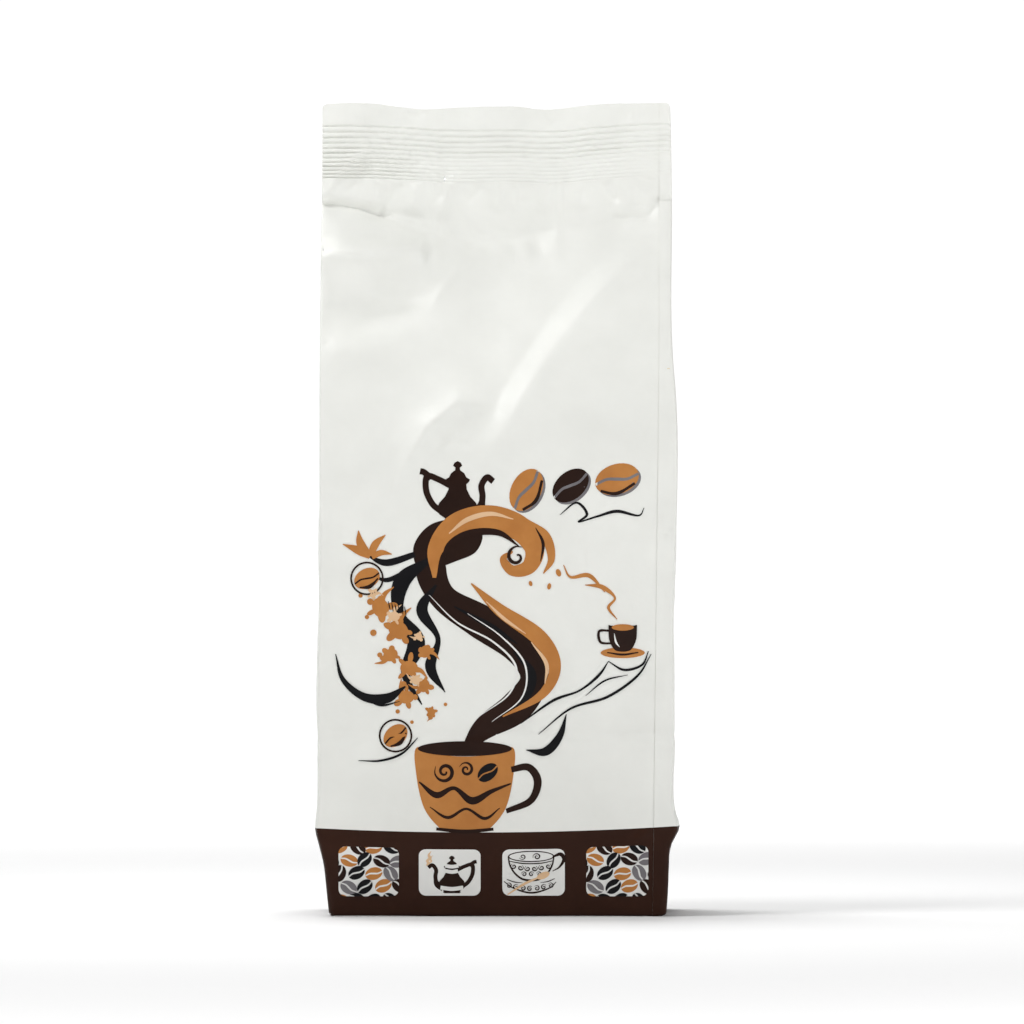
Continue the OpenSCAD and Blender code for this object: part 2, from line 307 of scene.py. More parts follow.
# Wide hollows and swellings of the front: middle, radii, height and turn
FRONT_DENTS = [
    ((-31, 173), (13.5, 7), -5.0, 3),
    ((-25, 172), (8, 5), -0.9, 35),
    ((-36, 167), (4, 3), -0.5, 0),
    ((-38, 159), (12, 5), 0.9, 0),
    ((-31, 188), (16, 3.8), 1.1, 0),
    ((6, 176), (12, 9), -0.5, 30),
    ((-38, 120), (6, 16), 0.4, 10),
    ((-20, 160), (14, 9), -0.5, 20),
    ((30, 100), (16, 12), -0.4, 0),
    ((-36, 60), (14, 9), -0.35, 0),
    ((20, 38), (26, 6), 0.35, 0),
]

# Folds of the flat top, which press all its plies: the same, with the height towards the front
TOP_FOLDS = [
    # pleats pressed in under the seal
    ([(-27, 208), (-31, 201), (-35, 194)], 2.0, -1.47, 0.35),
    ([(-22.5, 208), (-25, 197)], 1.8, 1.17, 0.35),
    ([(-18.6, 212), (-18.3, 203), (-18.6, 194)], 0.5, -0.89, 0.25),
    ([(-11, 211), (-14.5, 202), (-17, 195)], 1.4, 1.58, 0.3),
    ([(-14, 211), (-17, 200)], 1.0, -0.80, 0.3),
    ([(-3, 207), (-10, 199.5)], 1.8, -1.09, 0.35),
    ([(1.6, 208), (-1, 197)], 1.7, 1.09, 0.35),
    ([(5.5, 208), (6, 198)], 2.0, -0.99, 0.35),
    ([(15.5, 209), (13, 202), (12.4, 197)], 1.6, 0.95, 0.3),
    ([(18.6, 211), (18.9, 194)], 0.6, -0.80, 0.3),
    ([(23, 206), (24, 198)], 1.7, 0.80, 0.35),
    ([(29.5, 208), (34.5, 200)], 1.8, -1.28, 0.35),
    ([(37, 207), (39, 199)], 1.7, 0.89, 0.35),
    # the ledge over the left end, and the cut-away corner at the right
    ([(-51, 200.9), (-44, 200.2), (-38, 199.0), (-30, 196.4)], 0.7, -1.35, 0.04),
    ([(-51, 203.6), (-42, 202.8), (-34, 201.0)], 1.5, 0.6, 0.05),
    ([(-36, 199.2), (-25, 197.2), (-18.6, 195.4)], 1.1, -0.6, 0.2),
    ([(51, 202.2), (47, 201.6), (44.6, 201.9)], 0.7, -1.1, 0.02),
    ([(44.6, 203.6), (44.3, 200), (42.6, 197.0), (36, 196.4), (31, 197.6)], 0.6, -0.8, 0.2),
    ([(42.2, 204), (41.6, 199.4), (35, 198.4)], 1.2, 0.45, 0.3),
    # the sagging edge of the pressed part
    ([(-10, 196.6), (0, 195.6), (10, 196.0)], 1.6, 0.3, 0.3),
    ([(-14, 193.4), (-4, 191.6), (8, 192.2), (16, 194)], 2.4, -0.4, 0.3),
    # pinches at the foot of the ribs
    ([(-34.6, 208.2), (-33.6, 205.8)], 0.5, 0.4, 0.4),
    ([(-28.6, 208.4), (-27.2, 205.4)], 0.5, 0.4, 0.4),
    ([(-24.6, 206.6), (-21.4, 207.0)], 0.5, -0.4, 0.4),
    ([(41.2, 207.4), (44.8, 207.6)], 0.5, -0.35, 0.4),
    # the slanting fold across the ribs at the left
    ([(-36.5, 216.2), (-41.5, 213), (-45.5, 208), (-51, 199.8)], 0.8, 1.15, 0.12),
    ([(-34, 213.4), (-39, 209.0), (-43, 203)], 1.8, -1.0, 0.3),
    # a kink in the ribs at the right, and marks on the lip
    ([(22, 223.4), (24.5, 224.2), (27.5, 221.6)], 0.6, -0.55, 0.3),
    ([(26, 222.6), (27.2, 219), (26.4, 214)], 0.6, 0.5, 0.3),
    ([(-28.6, 224), (-26.4, 226.4), (-22.5, 228.6)], 0.8, 0.55, 0.3),
    ([(-25, 223.6), (-19.5, 228)], 1.6, -0.6, 0.3),
    ([(-10.5, 223.6), (-9, 229)], 1.1, -0.5, 0.2),
    ([(-6, 223.6), (-4, 229)], 1.6, 0.4, 0.3),
    ([(11, 229), (15, 223)], 1.0, 0.55, 0.2),
    ([(14, 229), (19, 223)], 1.4, -0.45, 0.25),
    ([(34.6, 229), (37.4, 224)], 0.8, -0.5, 0.3),
    ([(38, 229), (40, 223)], 1.3, 0.4, 0.3),
]

# The seal's ribs run in a long wave across the face, and the cut edge in another
RIB_WAVE = [
    (-50, 0), (-40, 0.05), (-28, -0.4), (-14, -1.3), (5, -1.15), (17, -1.55), (27, -0.6), (36, 0.1),
    (50, 0.7),
]
EDGE_WAVE = [
    (-50, -0.3), (-44, 0), (-34, -0.2), (-27, -1.1), (-21.6, -1.6), (-10, -1.1), (0, -0.8), (6, -0.8),
    (12, -1.6), (18, -1.4), (23, -0.8), (29, -0.2), (40, 0), (50, 0.2),
]


def row_height(v, x):
    """Real height of the paper's own height v at x: the band's edge and the seal's ribs aren't level."""
    u = np.clip(x / FACE, -1, 1)
    band = (-1.4 * (1 - u**2) + 0.3 * u) * np.exp(-(((v - BAND_Z) / 9) ** 2))
    to_ribs = smooth((v - CRIMP_LOW + 7) / 7)
    to_edge = smooth((v - CRIMP_TOP) / (TOP_Z - CRIMP_TOP))
    return v + band + to_ribs * (spline(x, RIB_WAVE) * (1 - to_edge) + spline(x, EDGE_WAVE) * to_edge)


def ribs_in(x, z):
    """How far the ribs' grooves press all the plies back. Their spacing closes up from the top down."""
    widest, closing = 1.65, 0.065
    below = CRIMP_TOP - (z - spline(x, RIB_WAVE))
    half = widest + closing / 2
    number = (half - np.sqrt(np.maximum(half**2 - 2 * closing * below, 0.04))) / closing
    inside = smooth((number + 0.4) * 2.5) * smooth((RIBS - 0.6 - number) * 2.5)
    nearest = number - np.round(number)
    faint = smooth((number - 3.8) / 2.4) * smooth((x + 30) / 12)
    right_end = 0.3 * smooth((x - 30) / 14)
    left_end = 0.45 * smooth((-36 - x) / 9)
    uneven = 0.93 + 0.12 * np.sin(x / 5.3 + 2.1 * np.round(number))
    strength = (1 - 0.62 * faint - right_end + left_end) * uneven
    return inside * strength * (0.58 * np.exp(-((nearest / 0.21) ** 2)) - 0.11)


def header_shift(x, z):
    """Sideways wander of the flat top, the same for all its plies."""
    up = smooth((z - NECK_Z - 1) / (TOP_Z - NECK_Z))
    bend = 1.5 * np.sin((x + 14) / 15.5) + 0.6 * np.sin((x - 9) / 6.1 + 1)
    lip = 0.45 * np.sin(x / 4.3 + 0.5) * smooth((z - CRIMP_TOP) / 6)
    relief = crumples(x, z, 12, 70, (191, 228), (0.07, 0.30), (0.5, 1.5), (3, 10))
    relief += ripple(x, z, 9, 9, 4.0, 16, 0.42) * np.exp(-(((x + 3) / 17) ** 2) - ((z - 190) / 5.5) ** 2)
    for each in TOP_FOLDS:
        relief += fold(x, z, *each)
    return up * (bend + lip) + ribs_in(x, z) - relief * smooth((z - 180) / 6)


def pressed(out, x, z):
    """The plain depth with its own relief, which fades out where the plies are pressed together."""
    plain = depth(x, z)
    return plain + out * smooth((plain - stack(x)) / 2.5)


def front_y(x, z):
    """The front's outer face: its y at (x, z)."""
    inside = smooth((FACE - 0.5 - np.abs(x)) / 4)
    out = ripple(x, z, 3, 55, 22, 14, 0.22) * inside
    out += ripple(x, z, 4, 13, 6, 18, 0.028)
    out += crumples(x, z, 11, 70, (26, 198), (0.04, 0.16), (0.8, 2.4), (6, 26)) * inside
    for each in FRONT_FOLDS:
        out += fold(x, z, *each)
    out += terrace(x, z, *LONG_STEP)
    for each in FRONT_DENTS:
        out += dent(x, z, *each) * inside
    return header_shift(x, z) - pressed(out, x, z)


def back_y(x, z):
    """The back's outer face."""
    inside = smooth((FACE - 0.5 - np.abs(x)) / 4)
    out = ripple(x, z, 23, 60, 24, 12, 0.3) * inside
    out += ripple(x, z, 24, 13, 6, 18, 0.028)
    out += crumples(x, z, 31, 80, (26, 198), (0.05, 0.2), (0.8, 2.6), (8, 34)) * inside
    out += fold(x, z, [(-51, 51.0), (-10, 51.4), (51, 51.0)], 1.2, -0.5, 0.01)
    out += terrace(x, z, [(4, 128), (-4, 146), (-20, 172), (-44, 194)], 6.5, -1.7, 24)
    out += fold(x, z, [(40, 190), (22, 170), (12, 150)], 2.6, 0.9, 0.25)
    out += fold(x, z, [(-30, 120), (-18, 128), (-6, 126)], 2.2, 0.7, 0.3)
    out += dent(x, z, (30, 178), (14, 7), -1.2, 0) * inside
    return header_shift(x, z) + pressed(out, x, z)


def face_y(face, x, z):
    """The outer face of the front (face -1) or of the back (face 1)."""
    return front_y(x, z) if face < 0 else back_y(x, z)


# ---------------------------------------------------------------- meshes


def add_object(name, data):
    obj = bpy.data.objects.new(name, data)
    bpy.context.scene.collection.objects.link(obj)
    return obj


def new_object(name, points, faces, face_materials, materials):
    mesh = bpy.data.meshes.new(name)
    mesh.from_pydata((np.asarray(points, float) * MM).tolist(), [], faces)
    for material in materials:
        mesh.materials.append(material)
    mesh.polygons.foreach_set("material_index", np.asarray(face_materials, dtype=np.int32))
    mesh.polygons.foreach_set("use_smooth", np.ones(len(faces), dtype=bool))
    mesh.update()
    mesh.set_sharp_from_angle(angle=math.radians(72))
    return add_object(name, mesh)


def under(outer, thickness):
    """The inner face of a sheet: the same grid, set in square to the outer face."""
    normal = np.cross(np.gradient(outer, axis=1), np.gradient(outer, axis=0))
    normal /= np.linalg.norm(normal, axis=-1, keepdims=True)
    return outer - thickness * normal


def sheet(name, outer, inner, materials, printed_rows=0):
    """A closed sheet between two grids.

    Rows below printed_rows take the second material, and cut edges the last.
    """
    rows, cols = outer.shape[:2]
    count = rows * cols
    index = np.arange(count).reshape(rows, cols)
    corners = (index[:-1, :-1], index[:-1, 1:], index[1:, 1:], index[1:, :-1])
    skin = np.stack(corners, -1).reshape(-1, 4)
    ring = np.concatenate([index[0], index[1:, -1], index[-1, -2::-1], index[-2:0:-1, 0]])
    after = np.roll(ring, -1)
    walls = np.stack([ring, ring + count, after + count, after], -1)
    picks = np.zeros((rows - 1, cols - 1), int)
    picks[:printed_rows] = 1
    faces = np.concatenate([skin, skin[:, ::-1] + count, walls]).tolist()
    face_materials = np.concatenate([
        picks.ravel(), np.zeros(len(skin), int), np.full(len(walls), len(materials) - 1)
    ])
    points = np.concatenate([outer.reshape(-1, 3), inner.reshape(-1, 3)])
    return new_object(name, points, faces, face_materials, materials)


def steps(*stretches):
    """Heights with a spacing of their own in each stretch: (to, spacing) pairs from 0 up."""
    heights = [0.0]
    for top, spacing in stretches:
        n = max(1, round((top - heights[-1]) / spacing))
        low = heights[-1]
        heights += [low + (top - low) * (k + 1) / n for k in range(n)]
    return np.array(heights)


def paper_rows(spacing):
    """Row heights of a full panel: fine at the base fold, the neck and the ribs."""
    return steps(
        (BASE_ROUND, BASE_ROUND / 4), (BAND_Z, spacing), (NECK_Z - 5, spacing), (CRIMP_LOW - 1.2, NECK_ROW),
        (CRIMP_TOP + 1.0, RIB_ROW), (TOP_Z, LIP_ROW),
    )


def turn_angle(r, sink, to_middle):
    """Angle through which the paper turns at a long edge to head for the gusset's crease."""
    reach = np.hypot(r - sink, to_middle)
    return np.arctan2(to_middle, r - sink) + np.arcsin(np.clip(r / reach, -1, 1))


def corner(v, side, face):
    """Where a panel's flat ends at one long edge: the arc's middle, its radius and the turn from there."""
    edge = right_x(v) if side > 0 else left_x(v)
    r = corner_r(v)
    cx = edge - side * r
    z = row_height(v, cx)
    y = face_y(face, cx, z)
    cy = y - face * r
    sink = crease_in(v)
    crease_y = header_shift(edge - side * sink, z)
    turn = turn_angle(r, sink, np.abs(crease_y - cy))
    return {
        "x": cx, "y": cy, "z": z, "r": r, "turn": turn,
        "crease": (edge - side * sink, crease_y), "side": side, "face": face,
    }


def arc(c, start, end, count, out=0.0):
    """Points on a corner's arc between two shares of its turn."""
    t = c["turn"][:, None] * np.linspace(start, end, count)[None, :]
    r = (c["r"] + out)[:, None]
    x = c["x"][:, None] + c["side"] * r * np.sin(t)
    y = c["y"][:, None] + c["face"] * r * np.cos(t)
    z = np.repeat(c["z"][:, None], count, axis=1)
    return np.stack([x, y, z], -1)


def round_top_corners(grid):
    """The cut edge is rounded off where it meets the long edges."""
    r = 1.2
    x = grid[..., 0]
    from_edge = np.minimum(x - left_x(TOP_Z), right_x(TOP_Z) - x)
    gone = np.clip(r - from_edge, 0, r)
    near_top = smooth((grid[..., 2] - TOP_Z + 4) / 4)
    grid[..., 2] -= near_top * (r - np.sqrt(r**2 - gone**2))
    return grid


def panel(v, face, columns):
    """A full front (face -1) or back (face 1), with half of each corner's turn."""
    low, high = (left_x(v), right_x(v)) if face < 0 else (right_x(v), left_x(v))
    r = corner_r(v) * (1 if face < 0 else -1)
    share = np.linspace(0, 1, columns + 1)[None, :]
    x = (low + r)[:, None] + (high - low - 2 * r)[:, None] * share
    z = row_height(v[:, None], x)
    y = face_y(face, x, z)
    first, last = (corner(v, side, face) for side in ((-1, 1) if face < 0 else (1, -1)))
    flat = np.stack([x, y, z], -1)
    return round_top_corners(np.concatenate([
        arc(first, 0.5, 0.125, 4), flat, arc(last, 0.125, 0.5, 4)
    ], axis=1))


def gusset(v, side, columns):
    """A full side panel, from one corner's arc over the crease to the other's."""
    first, last = corner(v, side, -side), corner(v, side, side)
    halves = []
    for c, seed in ((first, 41 + side), (last, 51 + side)):
        s = np.linspace(0, 1, columns + 1)[None, 1:]
        start = arc(c, 1.0, 1.0, 1)[:, 0]
        x = start[:, :1] + (c["crease"][0][:, None] - start[:, :1]) * s
        z = row_height(v[:, None], x)
        # in the pouch it runs straight to the crease; in the flat top it lies in the middle of the plies
        lean = (start[:, 1] - header_shift(start[:, 0], start[:, 2]))[:, None]
        opening = smooth((np.abs(lean) - 0.9) / 3)
        settled = smooth(s * GUSSET / 1.5)
        ply = np.where(s < 1, 0.15 * c["face"], 0)
        flat = lean * (1 - settled) + ply * settled
        y = header_shift(x, z) + flat * (1 - opening) + lean * (1 - s) * opening
        place = np.broadcast_to(s * GUSSET, x.shape)
        open_part = smooth((SHOULDER_Z + 45 - z) / 60)
        out = 1.5 * np.sin(math.pi * s) * open_part * smooth(z / 30)
        window = np.sin(math.pi * s) ** 0.5
        out = out + window * open_part * (
            ripple(place, z, seed, 40, 14, 10, 0.22)
            + crumples(place * 2 - GUSSET, z, seed + 7, 40, (6, 190), (0.05, 0.25), (0.7, 2.2), (5, 22))
            + fold(place, z, [(-5, 50.6), (40, 51.0)], 1.2, -0.4, 0.01)
        )
        x = x + c["side"] * np.sin(c["turn"])[:, None] * out
        y = y + c["face"] * np.cos(c["turn"])[:, None] * out
        room = (PAPER + 0.26) * smooth(s * GUSSET / 3)
        if c["face"] < 0:
            y = np.maximum(y, front_y(x, z) + room)
        else:
            y = np.minimum(y, back_y(x, z) - room)
        halves.append(np.concatenate([arc(c, 0.5, 1.0, 4), np.stack([x, y, z], -1)], axis=1))
    back_half = halves[1][:, -2::-1]
    return round_top_corners(np.concatenate([halves[0], back_half], axis=1))


# ---------------------------------------------------------------- materials


def fill(tree, made, **inputs):
    """Sets a node's inputs to values, or joins them to other nodes' outputs."""
    for name, value in inputs.items():
        socket = made.inputs[name.replace("_", " ")]
        if isinstance(value, bpy.types.NodeSocket):
            tree.links.new(value, socket)
        else:
            socket.default_value = value


def node(tree, kind, **inputs):
    made = tree.nodes.new(kind)
    fill(tree, made, **inputs)
    return made


def new_material(name):
    """A material with its node tree and its shader."""
    material = bpy.data.materials.new(name)
    material.use_nodes = True
    return material, material.node_tree, material.node_tree.nodes["Principled BSDF"]


def noise_value(tree, scale, detail=3.0, rough=0.55):
    place = tree.nodes.new("ShaderNodeTexCoord").outputs["Object"]
    noise = node(tree, "ShaderNodeTexNoise", Scale=scale, Detail=detail, Roughness=rough, Vector=place)
    return noise.outputs["Fac"]


def between(tree, value, low, high):
    spread = node(
        tree, "ShaderNodeMapRange", From_Min=0.3, From_Max=0.7, To_Min=low, To_Max=high, Value=value
    )
    return spread.outputs["Result"]


def bump_normal(tree, strength, distance, **inputs):
    bump = node(tree, "ShaderNodeBump", Strength=strength, Distance=distance, **inputs)
    return bump.outputs["Normal"]


def coated(name, light, dark, roughness, specular, mottle=70, grain=2600, bump=0.1, cockle=0.25):
    """A printed or coated sheet: two close shades, a fine grain and a slight cockle."""
    material, tree, shader = new_material(name)
    mix = tree.nodes.new("ShaderNodeMix")
    mix.data_type = "RGBA"
    mix.inputs[6].default_value = (*dark, 1)
    mix.inputs[7].default_value = (*light, 1)
    tree.links.new(between(tree, noise_value(tree, mottle), 0, 1), mix.inputs[0])
    wear = between(tree, noise_value(tree, 240), roughness - 0.05, roughness + 0.06)
    fine = bump_normal(tree, bump, 0.00008, Height=noise_value(tree, grain, 2.0))
    broad = bump_normal(tree, cockle, 0.0003, Height=noise_value(tree, 330), Normal=fine)
    fill(
        tree, shader, Base_Color=mix.outputs[2], Roughness=wear, Specular_IOR_Level=specular, Normal=broad
    )
    return material


WHITE = coated("coated_white_paper", (0.825, 0.83, 0.79), (0.785, 0.79, 0.75), 0.42, 0.4)
BROWN = coated("brown_print", (0.033, 0.0108, 0.0050), (0.025, 0.0076, 0.0034), 0.45, 0.12)
CUT_EDGE = coated("cut_paper_edge", (0.88, 0.87, 0.83), (0.82, 0.81, 0.76), 0.7, 0.2)
DARK_INK = coated("dark_brown_ink", (0.022, 0.0080, 0.0045), (0.015, 0.0055, 0.0032), 0.48, 0.12)
BLACK_INK = coated("black_ink", (0.0065, 0.006, 0.0075), (0.004, 0.004, 0.005), 0.48, 0.12)
ORANGE_INK = coated("orange_ink", (0.50, 0.205, 0.048), (0.43, 0.165, 0.036), 0.46, 0.25, mottle=160)
PEACH_INK = coated("peach_ink", (0.74, 0.50, 0.30), (0.68, 0.44, 0.25), 0.46, 0.25, mottle=160)
GREY_INK = coated("grey_ink", (0.20, 0.19, 0.195), (0.15, 0.14, 0.15), 0.46, 0.25, mottle=160)
WHITE_INK = coated("white_ground", (0.81, 0.81, 0.785), (0.77, 0.77, 0.745), 0.43, 0.35)
GLUE = coated("dried_glue", (0.80, 0.70, 0.48), (0.70, 0.60, 0.40), 0.5, 0.4)


def film_material():
    material = coated("metallised_film", (0.72, 0.73, 0.75), (0.62, 0.63, 0.66), 0.28, 0.5, cockle=0.6)
    material.node_tree.nodes["Principled BSDF"].inputs["Metallic"].default_value = 0.85
    return material


def roasted_material():
    material = coated("roasted_beans", (0.13, 0.052, 0.022), (0.055, 0.022, 0.010), 0.38, 0.5, mottle=260)
    material.node_tree.nodes["Principled BSDF"].inputs["Coat Weight"].default_value = 0.15
    return material


FILM = film_material()
ROASTED = roasted_material()

# ---------------------------------------------------------------- the paper


def across_fold(obj):
    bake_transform(obj)


def in_pouch(obj, slot, *replaced):
    """Rides on the standing part of the bag, in place of CAD nodes if any are named."""
    if replaced:
        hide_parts(*replaced)
    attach(obj, "pouch")


def rows_below(v, height):
    return int(np.searchsorted(v, height - 0.01))


def paper(name, outer, v, thickness=PAPER):
    """A sheet of the bag's paper with the brown band at its foot."""
    materials = [WHITE, BROWN, CUT_EDGE]
    return sheet(name, outer, under(outer, thickness), materials, rows_below(v, BAND_Z))


def make_panels():
    for name, face, spacing, columns, replaced in (
        ("front", -1, FRONT_ROW, 100, ("front_panel", "header_front", "neck_crease")),
        ("back", 1, BACK_ROW, 70, ("back_panel", "header_back")),
    ):
        v = paper_rows(spacing)
        obj = paper(f"{name}_paper", panel(v, face, columns), v)
        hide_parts(*replaced)
        across_fold(obj)

    v = paper_rows(BACK_ROW)
    for side, name in ((1, "right"), (-1, "left")):
        obj = paper(f"gusset_{name}_paper", gusset(v, side, 16), v)
        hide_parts(f"gusset_{name}", f"header_tuck_{name}")
        across_fold(obj)


def lap_edge_x(z):
    """The lap's cut edge on the front."""
    return spline(z, [(0, 43.6), (24, 43.9), (110, 44.9), (172, 45.7), (TOP_Z, 46.0)])


def lap_grid(v, low_share, high_share, out):
    """A strip on the front from the lap's edge to the corner and round it, standing out from the paper."""
    c = corner(v, 1, -1)
    start = lap_edge_x(v)[:, None]
    share = np.linspace(low_share, high_share, 5)[None, :]
    x = start + (c["x"][:, None] - start) * share
    z = row_height(v[:, None], x)
    flat = np.stack([x, front_y(x, z) - out, z], -1)
    if high_share < 1:
        return flat
    round_it = arc(c, 0.1, 0.98, 7, out)
    sink = np.linspace(0, 1, 7)[None, :, None] ** 2 * (out + 0.06)
    outward = np.stack([round_it[..., 0] - c["x"][:, None], round_it[..., 1] - c["y"][:, None]], -1)
    outward /= np.linalg.norm(outward, axis=-1, keepdims=True)
    round_it[..., :2] -= outward * sink
    return round_top_corners(np.concatenate([flat, round_it], axis=1))


def make_lap():
    v = paper_rows(FRONT_ROW)
    lap = paper("lap_paper", lap_grid(v, 0, 1, out=0.24), v, thickness=0.17)
    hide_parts("seam_flap", "header_seam_flap")
    across_fold(lap)

    v = steps((PANEL_TOP_Z - 2, 1.5))[1:]
    outer = lap_grid(v, 0.12, 0.9, out=0.06)
    glue = sheet("lap_glue", outer, under(outer, thickness=0.05), [GLUE])
    in_pouch(glue, "glue", "seam_glue")


def make_base():
    """The two base flaps meet on one plane, which the bag stands on."""
    front_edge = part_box("base_flap_front")[1].y / MM
    glue_low, glue_high = (limit.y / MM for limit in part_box("base_glue"))
    reach_x = float(right_x(np.array(BASE_ROUND))) - BASE_ROUND
    reach_y = float(depth(np.array(FACE), np.array(BASE_ROUND))) - BASE_ROUND
    for name, low_y, high_y in (("front", -reach_y, front_edge), ("back", front_edge + 0.1, reach_y)):
        x, y = np.meshgrid(np.linspace(-reach_x, reach_x, 64), np.linspace(high_y, low_y, 36))
        edge = np.minimum(reach_x - np.abs(x), reach_y - np.abs(y))
        rim = 1.6  # the ends draw in over this width
        pull = np.clip(rim - edge, 0, rim) * smooth((np.abs(x) - reach_x + rim) / rim) * 0.35
        rise = smooth(edge / 5) * (0.22 + ripple(x, y, 61, 40, 15, 8, 0.12))
        # flat over the glue line, which lies close above
        rise *= smooth((glue_low - 1 - y) / 4) + smooth((y - glue_high - 1) / 4)
        under_face = np.stack([x * (1 - pull / reach_x), y, np.maximum(rise, 0)], -1)
        top = under_face + np.array([0, 0, PAPER])
        flap = sheet(f"base_{name}_paper", under_face, top, [BROWN, BROWN, CUT_EDGE])
        in_pouch(flap, "brown_print", f"base_flap_{name}")


def make_film(name, outer, inner):
    film = sheet(f"film_{name}", outer, inner, [FILM])
    in_pouch(film, "film", f"liner_{name}")


def make_liner():
    """The film tube inside the paper, a little way in from it."""
    gap = 0.62
    v = steps((2, 0.5), (PANEL_TOP_Z - 10, 2.8))
    v = v + 1.0 * (1 - v / v[-1])
    panels = (
        ("front", panel(v, -1, 36)), ("back", panel(v, 1, 36)),
        ("gusset_right", gusset(v, 1, 8)), ("gusset_left", gusset(v, -1, 8)),
    )
    for name, outside in panels:
        outer = under(outside, gap)
        make_film(name, outer, under(outer, FILM_THICK))

    x, z = np.meshgrid(np.linspace(4, -4, 7), v[2:-3])
    outer = np.stack([x, back_y(x, z) - gap - 0.25, z], -1)
    make_film("seam", outer, outer - np.array([0, FILM_THICK, 0]))

    low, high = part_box("liner_base")
    reach_x, reach_y = high.x / MM - 1.2, high.y / MM - 1.2
    x, y = np.meshgrid(np.linspace(-reach_x, reach_x, 50), np.linspace(reach_y, -reach_y, 30))
    z = low.z / MM + 0.05 + np.abs(ripple(x, y, 71, 30, 12, 8, 0.1))
    outer = np.stack([x, y, z], -1)
    make_film("base", outer, outer + np.array([0, 0, FILM_THICK]))


def make_coffee():
    """The heap of coffee that fills the pouch, a little inside the film."""
    v = steps((3, 1.0), (FILL_TOP_Z - 5, 3.0))
    v = v + 1.6 * (1 - v / v[-1])
    parts = [
        under(grid, 1.5)[:, 1:-1] for grid in
        (panel(v, -1, 30), gusset(v, 1, 8), panel(v, 1, 30), gusset(v, -1, 8))
    ]
    wall = np.concatenate(parts, axis=1)
    rows, cols = wall.shape[:2]
    middle = wall[-1].mean(axis=0)
    crown = [
        middle + (wall[-1] - middle) * share + np.array([0, 0, rise])
        for share, rise in ((0.93, 2.4), (0.8, 3.9), (0.6, 4.4), (0.3, 4.6))
    ]
    wall = np.concatenate([wall, np.array(crown)])
    wall[-4:, :, 2] += np.abs(ripple(wall[-4:, :, 0], wall[-4:, :, 1], 77, 14, 6, 8, 0.25)) * 0.6
    rows += len(crown)
    index = np.arange(rows * cols).reshape(rows, cols)
    beside = np.roll(index, -1, axis=1)
    faces = np.stack([index[:-1], beside[:-1], beside[1:], index[1:]], -1).reshape(-1, 4).tolist()
    low, high = rows * cols, rows * cols + 1
    faces += [[index[-1, k], beside[-1, k], high] for k in range(cols)]
    faces += [[beside[0, k], index[0, k], low] for k in range(cols)]
    points = np.concatenate([wall.reshape(-1, 3), [wall[0].mean(axis=0)], [wall[-1].mean(axis=0)]])
    coffee = new_object("coffee_heap", points, faces, np.zeros(len(faces), int), [ROASTED])
    in_pouch(coffee, "coffee", "coffee_bulk")


def make_film_seal():
    """The fused film between the plies: a flat band, forked over each gusset."""
    outer_y, inner_y = STACK_SIDE - PAPER - 0.06, 0.46
    middle_y = STACK_MIDDLE - PAPER - 0.04
    v = steps(
        (NECK_Z + 1, NECK_Z + 1), (CRIMP_LOW - 1.2, 0.5), (CRIMP_TOP + 1.0, RIB_ROW), (TOP_Z - 0.6, LIP_ROW)
    )[1:]
    beside, edge = 17.4, FACE - 8.5  # each forked strip runs between these
    for name, low_x, high_x, y_front, y_back in (
        ("middle", -16.9, 16.9, -middle_y, middle_y),
        ("front_right", beside, edge, -outer_y, -inner_y), ("back_right", beside, edge, inner_y, outer_y),
        ("front_left", -edge, -beside, -outer_y, -inner_y), ("back_left", -edge, -beside, inner_y, outer_y),
    ):
        x = np.tile(np.linspace(low_x, high_x, 26), (len(v), 1))
        z = row_height(v[:, None], x)
        shift = header_shift(x, z)
        near = np.stack([x, shift + y_front, z], -1)
        far = np.stack([x, shift + y_back, z], -1)
        film = sheet(f"film_seal_{name}", near, far, [FILM])
        if name == "middle":
            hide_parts("film_seal")
        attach(film, "header")


# ---------------------------------------------------------------- the print: shapes


def catmull(points, closed=False, per_step=10):
    """A smooth line through points."""
    p = [np.array(q, float) for q in points]
    n = len(p)
    out = []
    for i in range(n if closed else n - 1):
        a = p[i - 1] if closed or i > 0 else 2 * p[0] - p[1]
        b, c = p[i], p[(i + 1) % n]
        d = p[(i + 2) % n] if closed or i + 2 < n else 2 * p[-1] - p[-2]
        for k in range(per_step):
            t = k / per_step
            out.append(0.5 * (
                2 * b + (c - a) * t + (2 * a - 5 * b + 4 * c - d) * t**2 + (3 * b - a - 3 * c + d) * t**3
            ))
    if not closed:
        out.append(p[-1])
    return np.array(out)


def blob(points):
    return catmull(points, closed=True, per_step=8)


def stroke(points, widths):
    """A brush stroke: a line that swells and thins through the given widths."""
    line = catmull(points)
    along = np.gradient(line, axis=0)
    along /= np.linalg.norm(along, axis=1, keepdims=True)
    across = np.stack([-along[:, 1], along[:, 0]], 1)
    share = np.linspace(0, 1, len(line))
    half = np.maximum(spline(share, list(zip(np.linspace(0, 1, len(widths)), widths))), 0.12) / 2
    return np.concatenate([line + across * half[:, None], (line - across * half[:, None])[::-1]])


def strokes(*lines):
    """Several brush strokes, each from its points and widths."""
    return [stroke(points, widths) for points, widths in lines]


def spiral(x, z, radius, turns, width, start=0.0, flip=False):
    """A curl that winds in to its middle."""
    count = max(6, round(turns * 9))
    points = []
    for k in range(count + 1):
        t = k / count
        a = math.radians(start) + 2 * math.pi * turns * t
        r = radius * (1 - 0.88 * t)
        points.append((x + (-r if flip else r) * math.cos(a), z + r * math.sin(a)))
    return stroke(points, [0.15 * width, width, width, 0.7 * width, 0.5 * width])


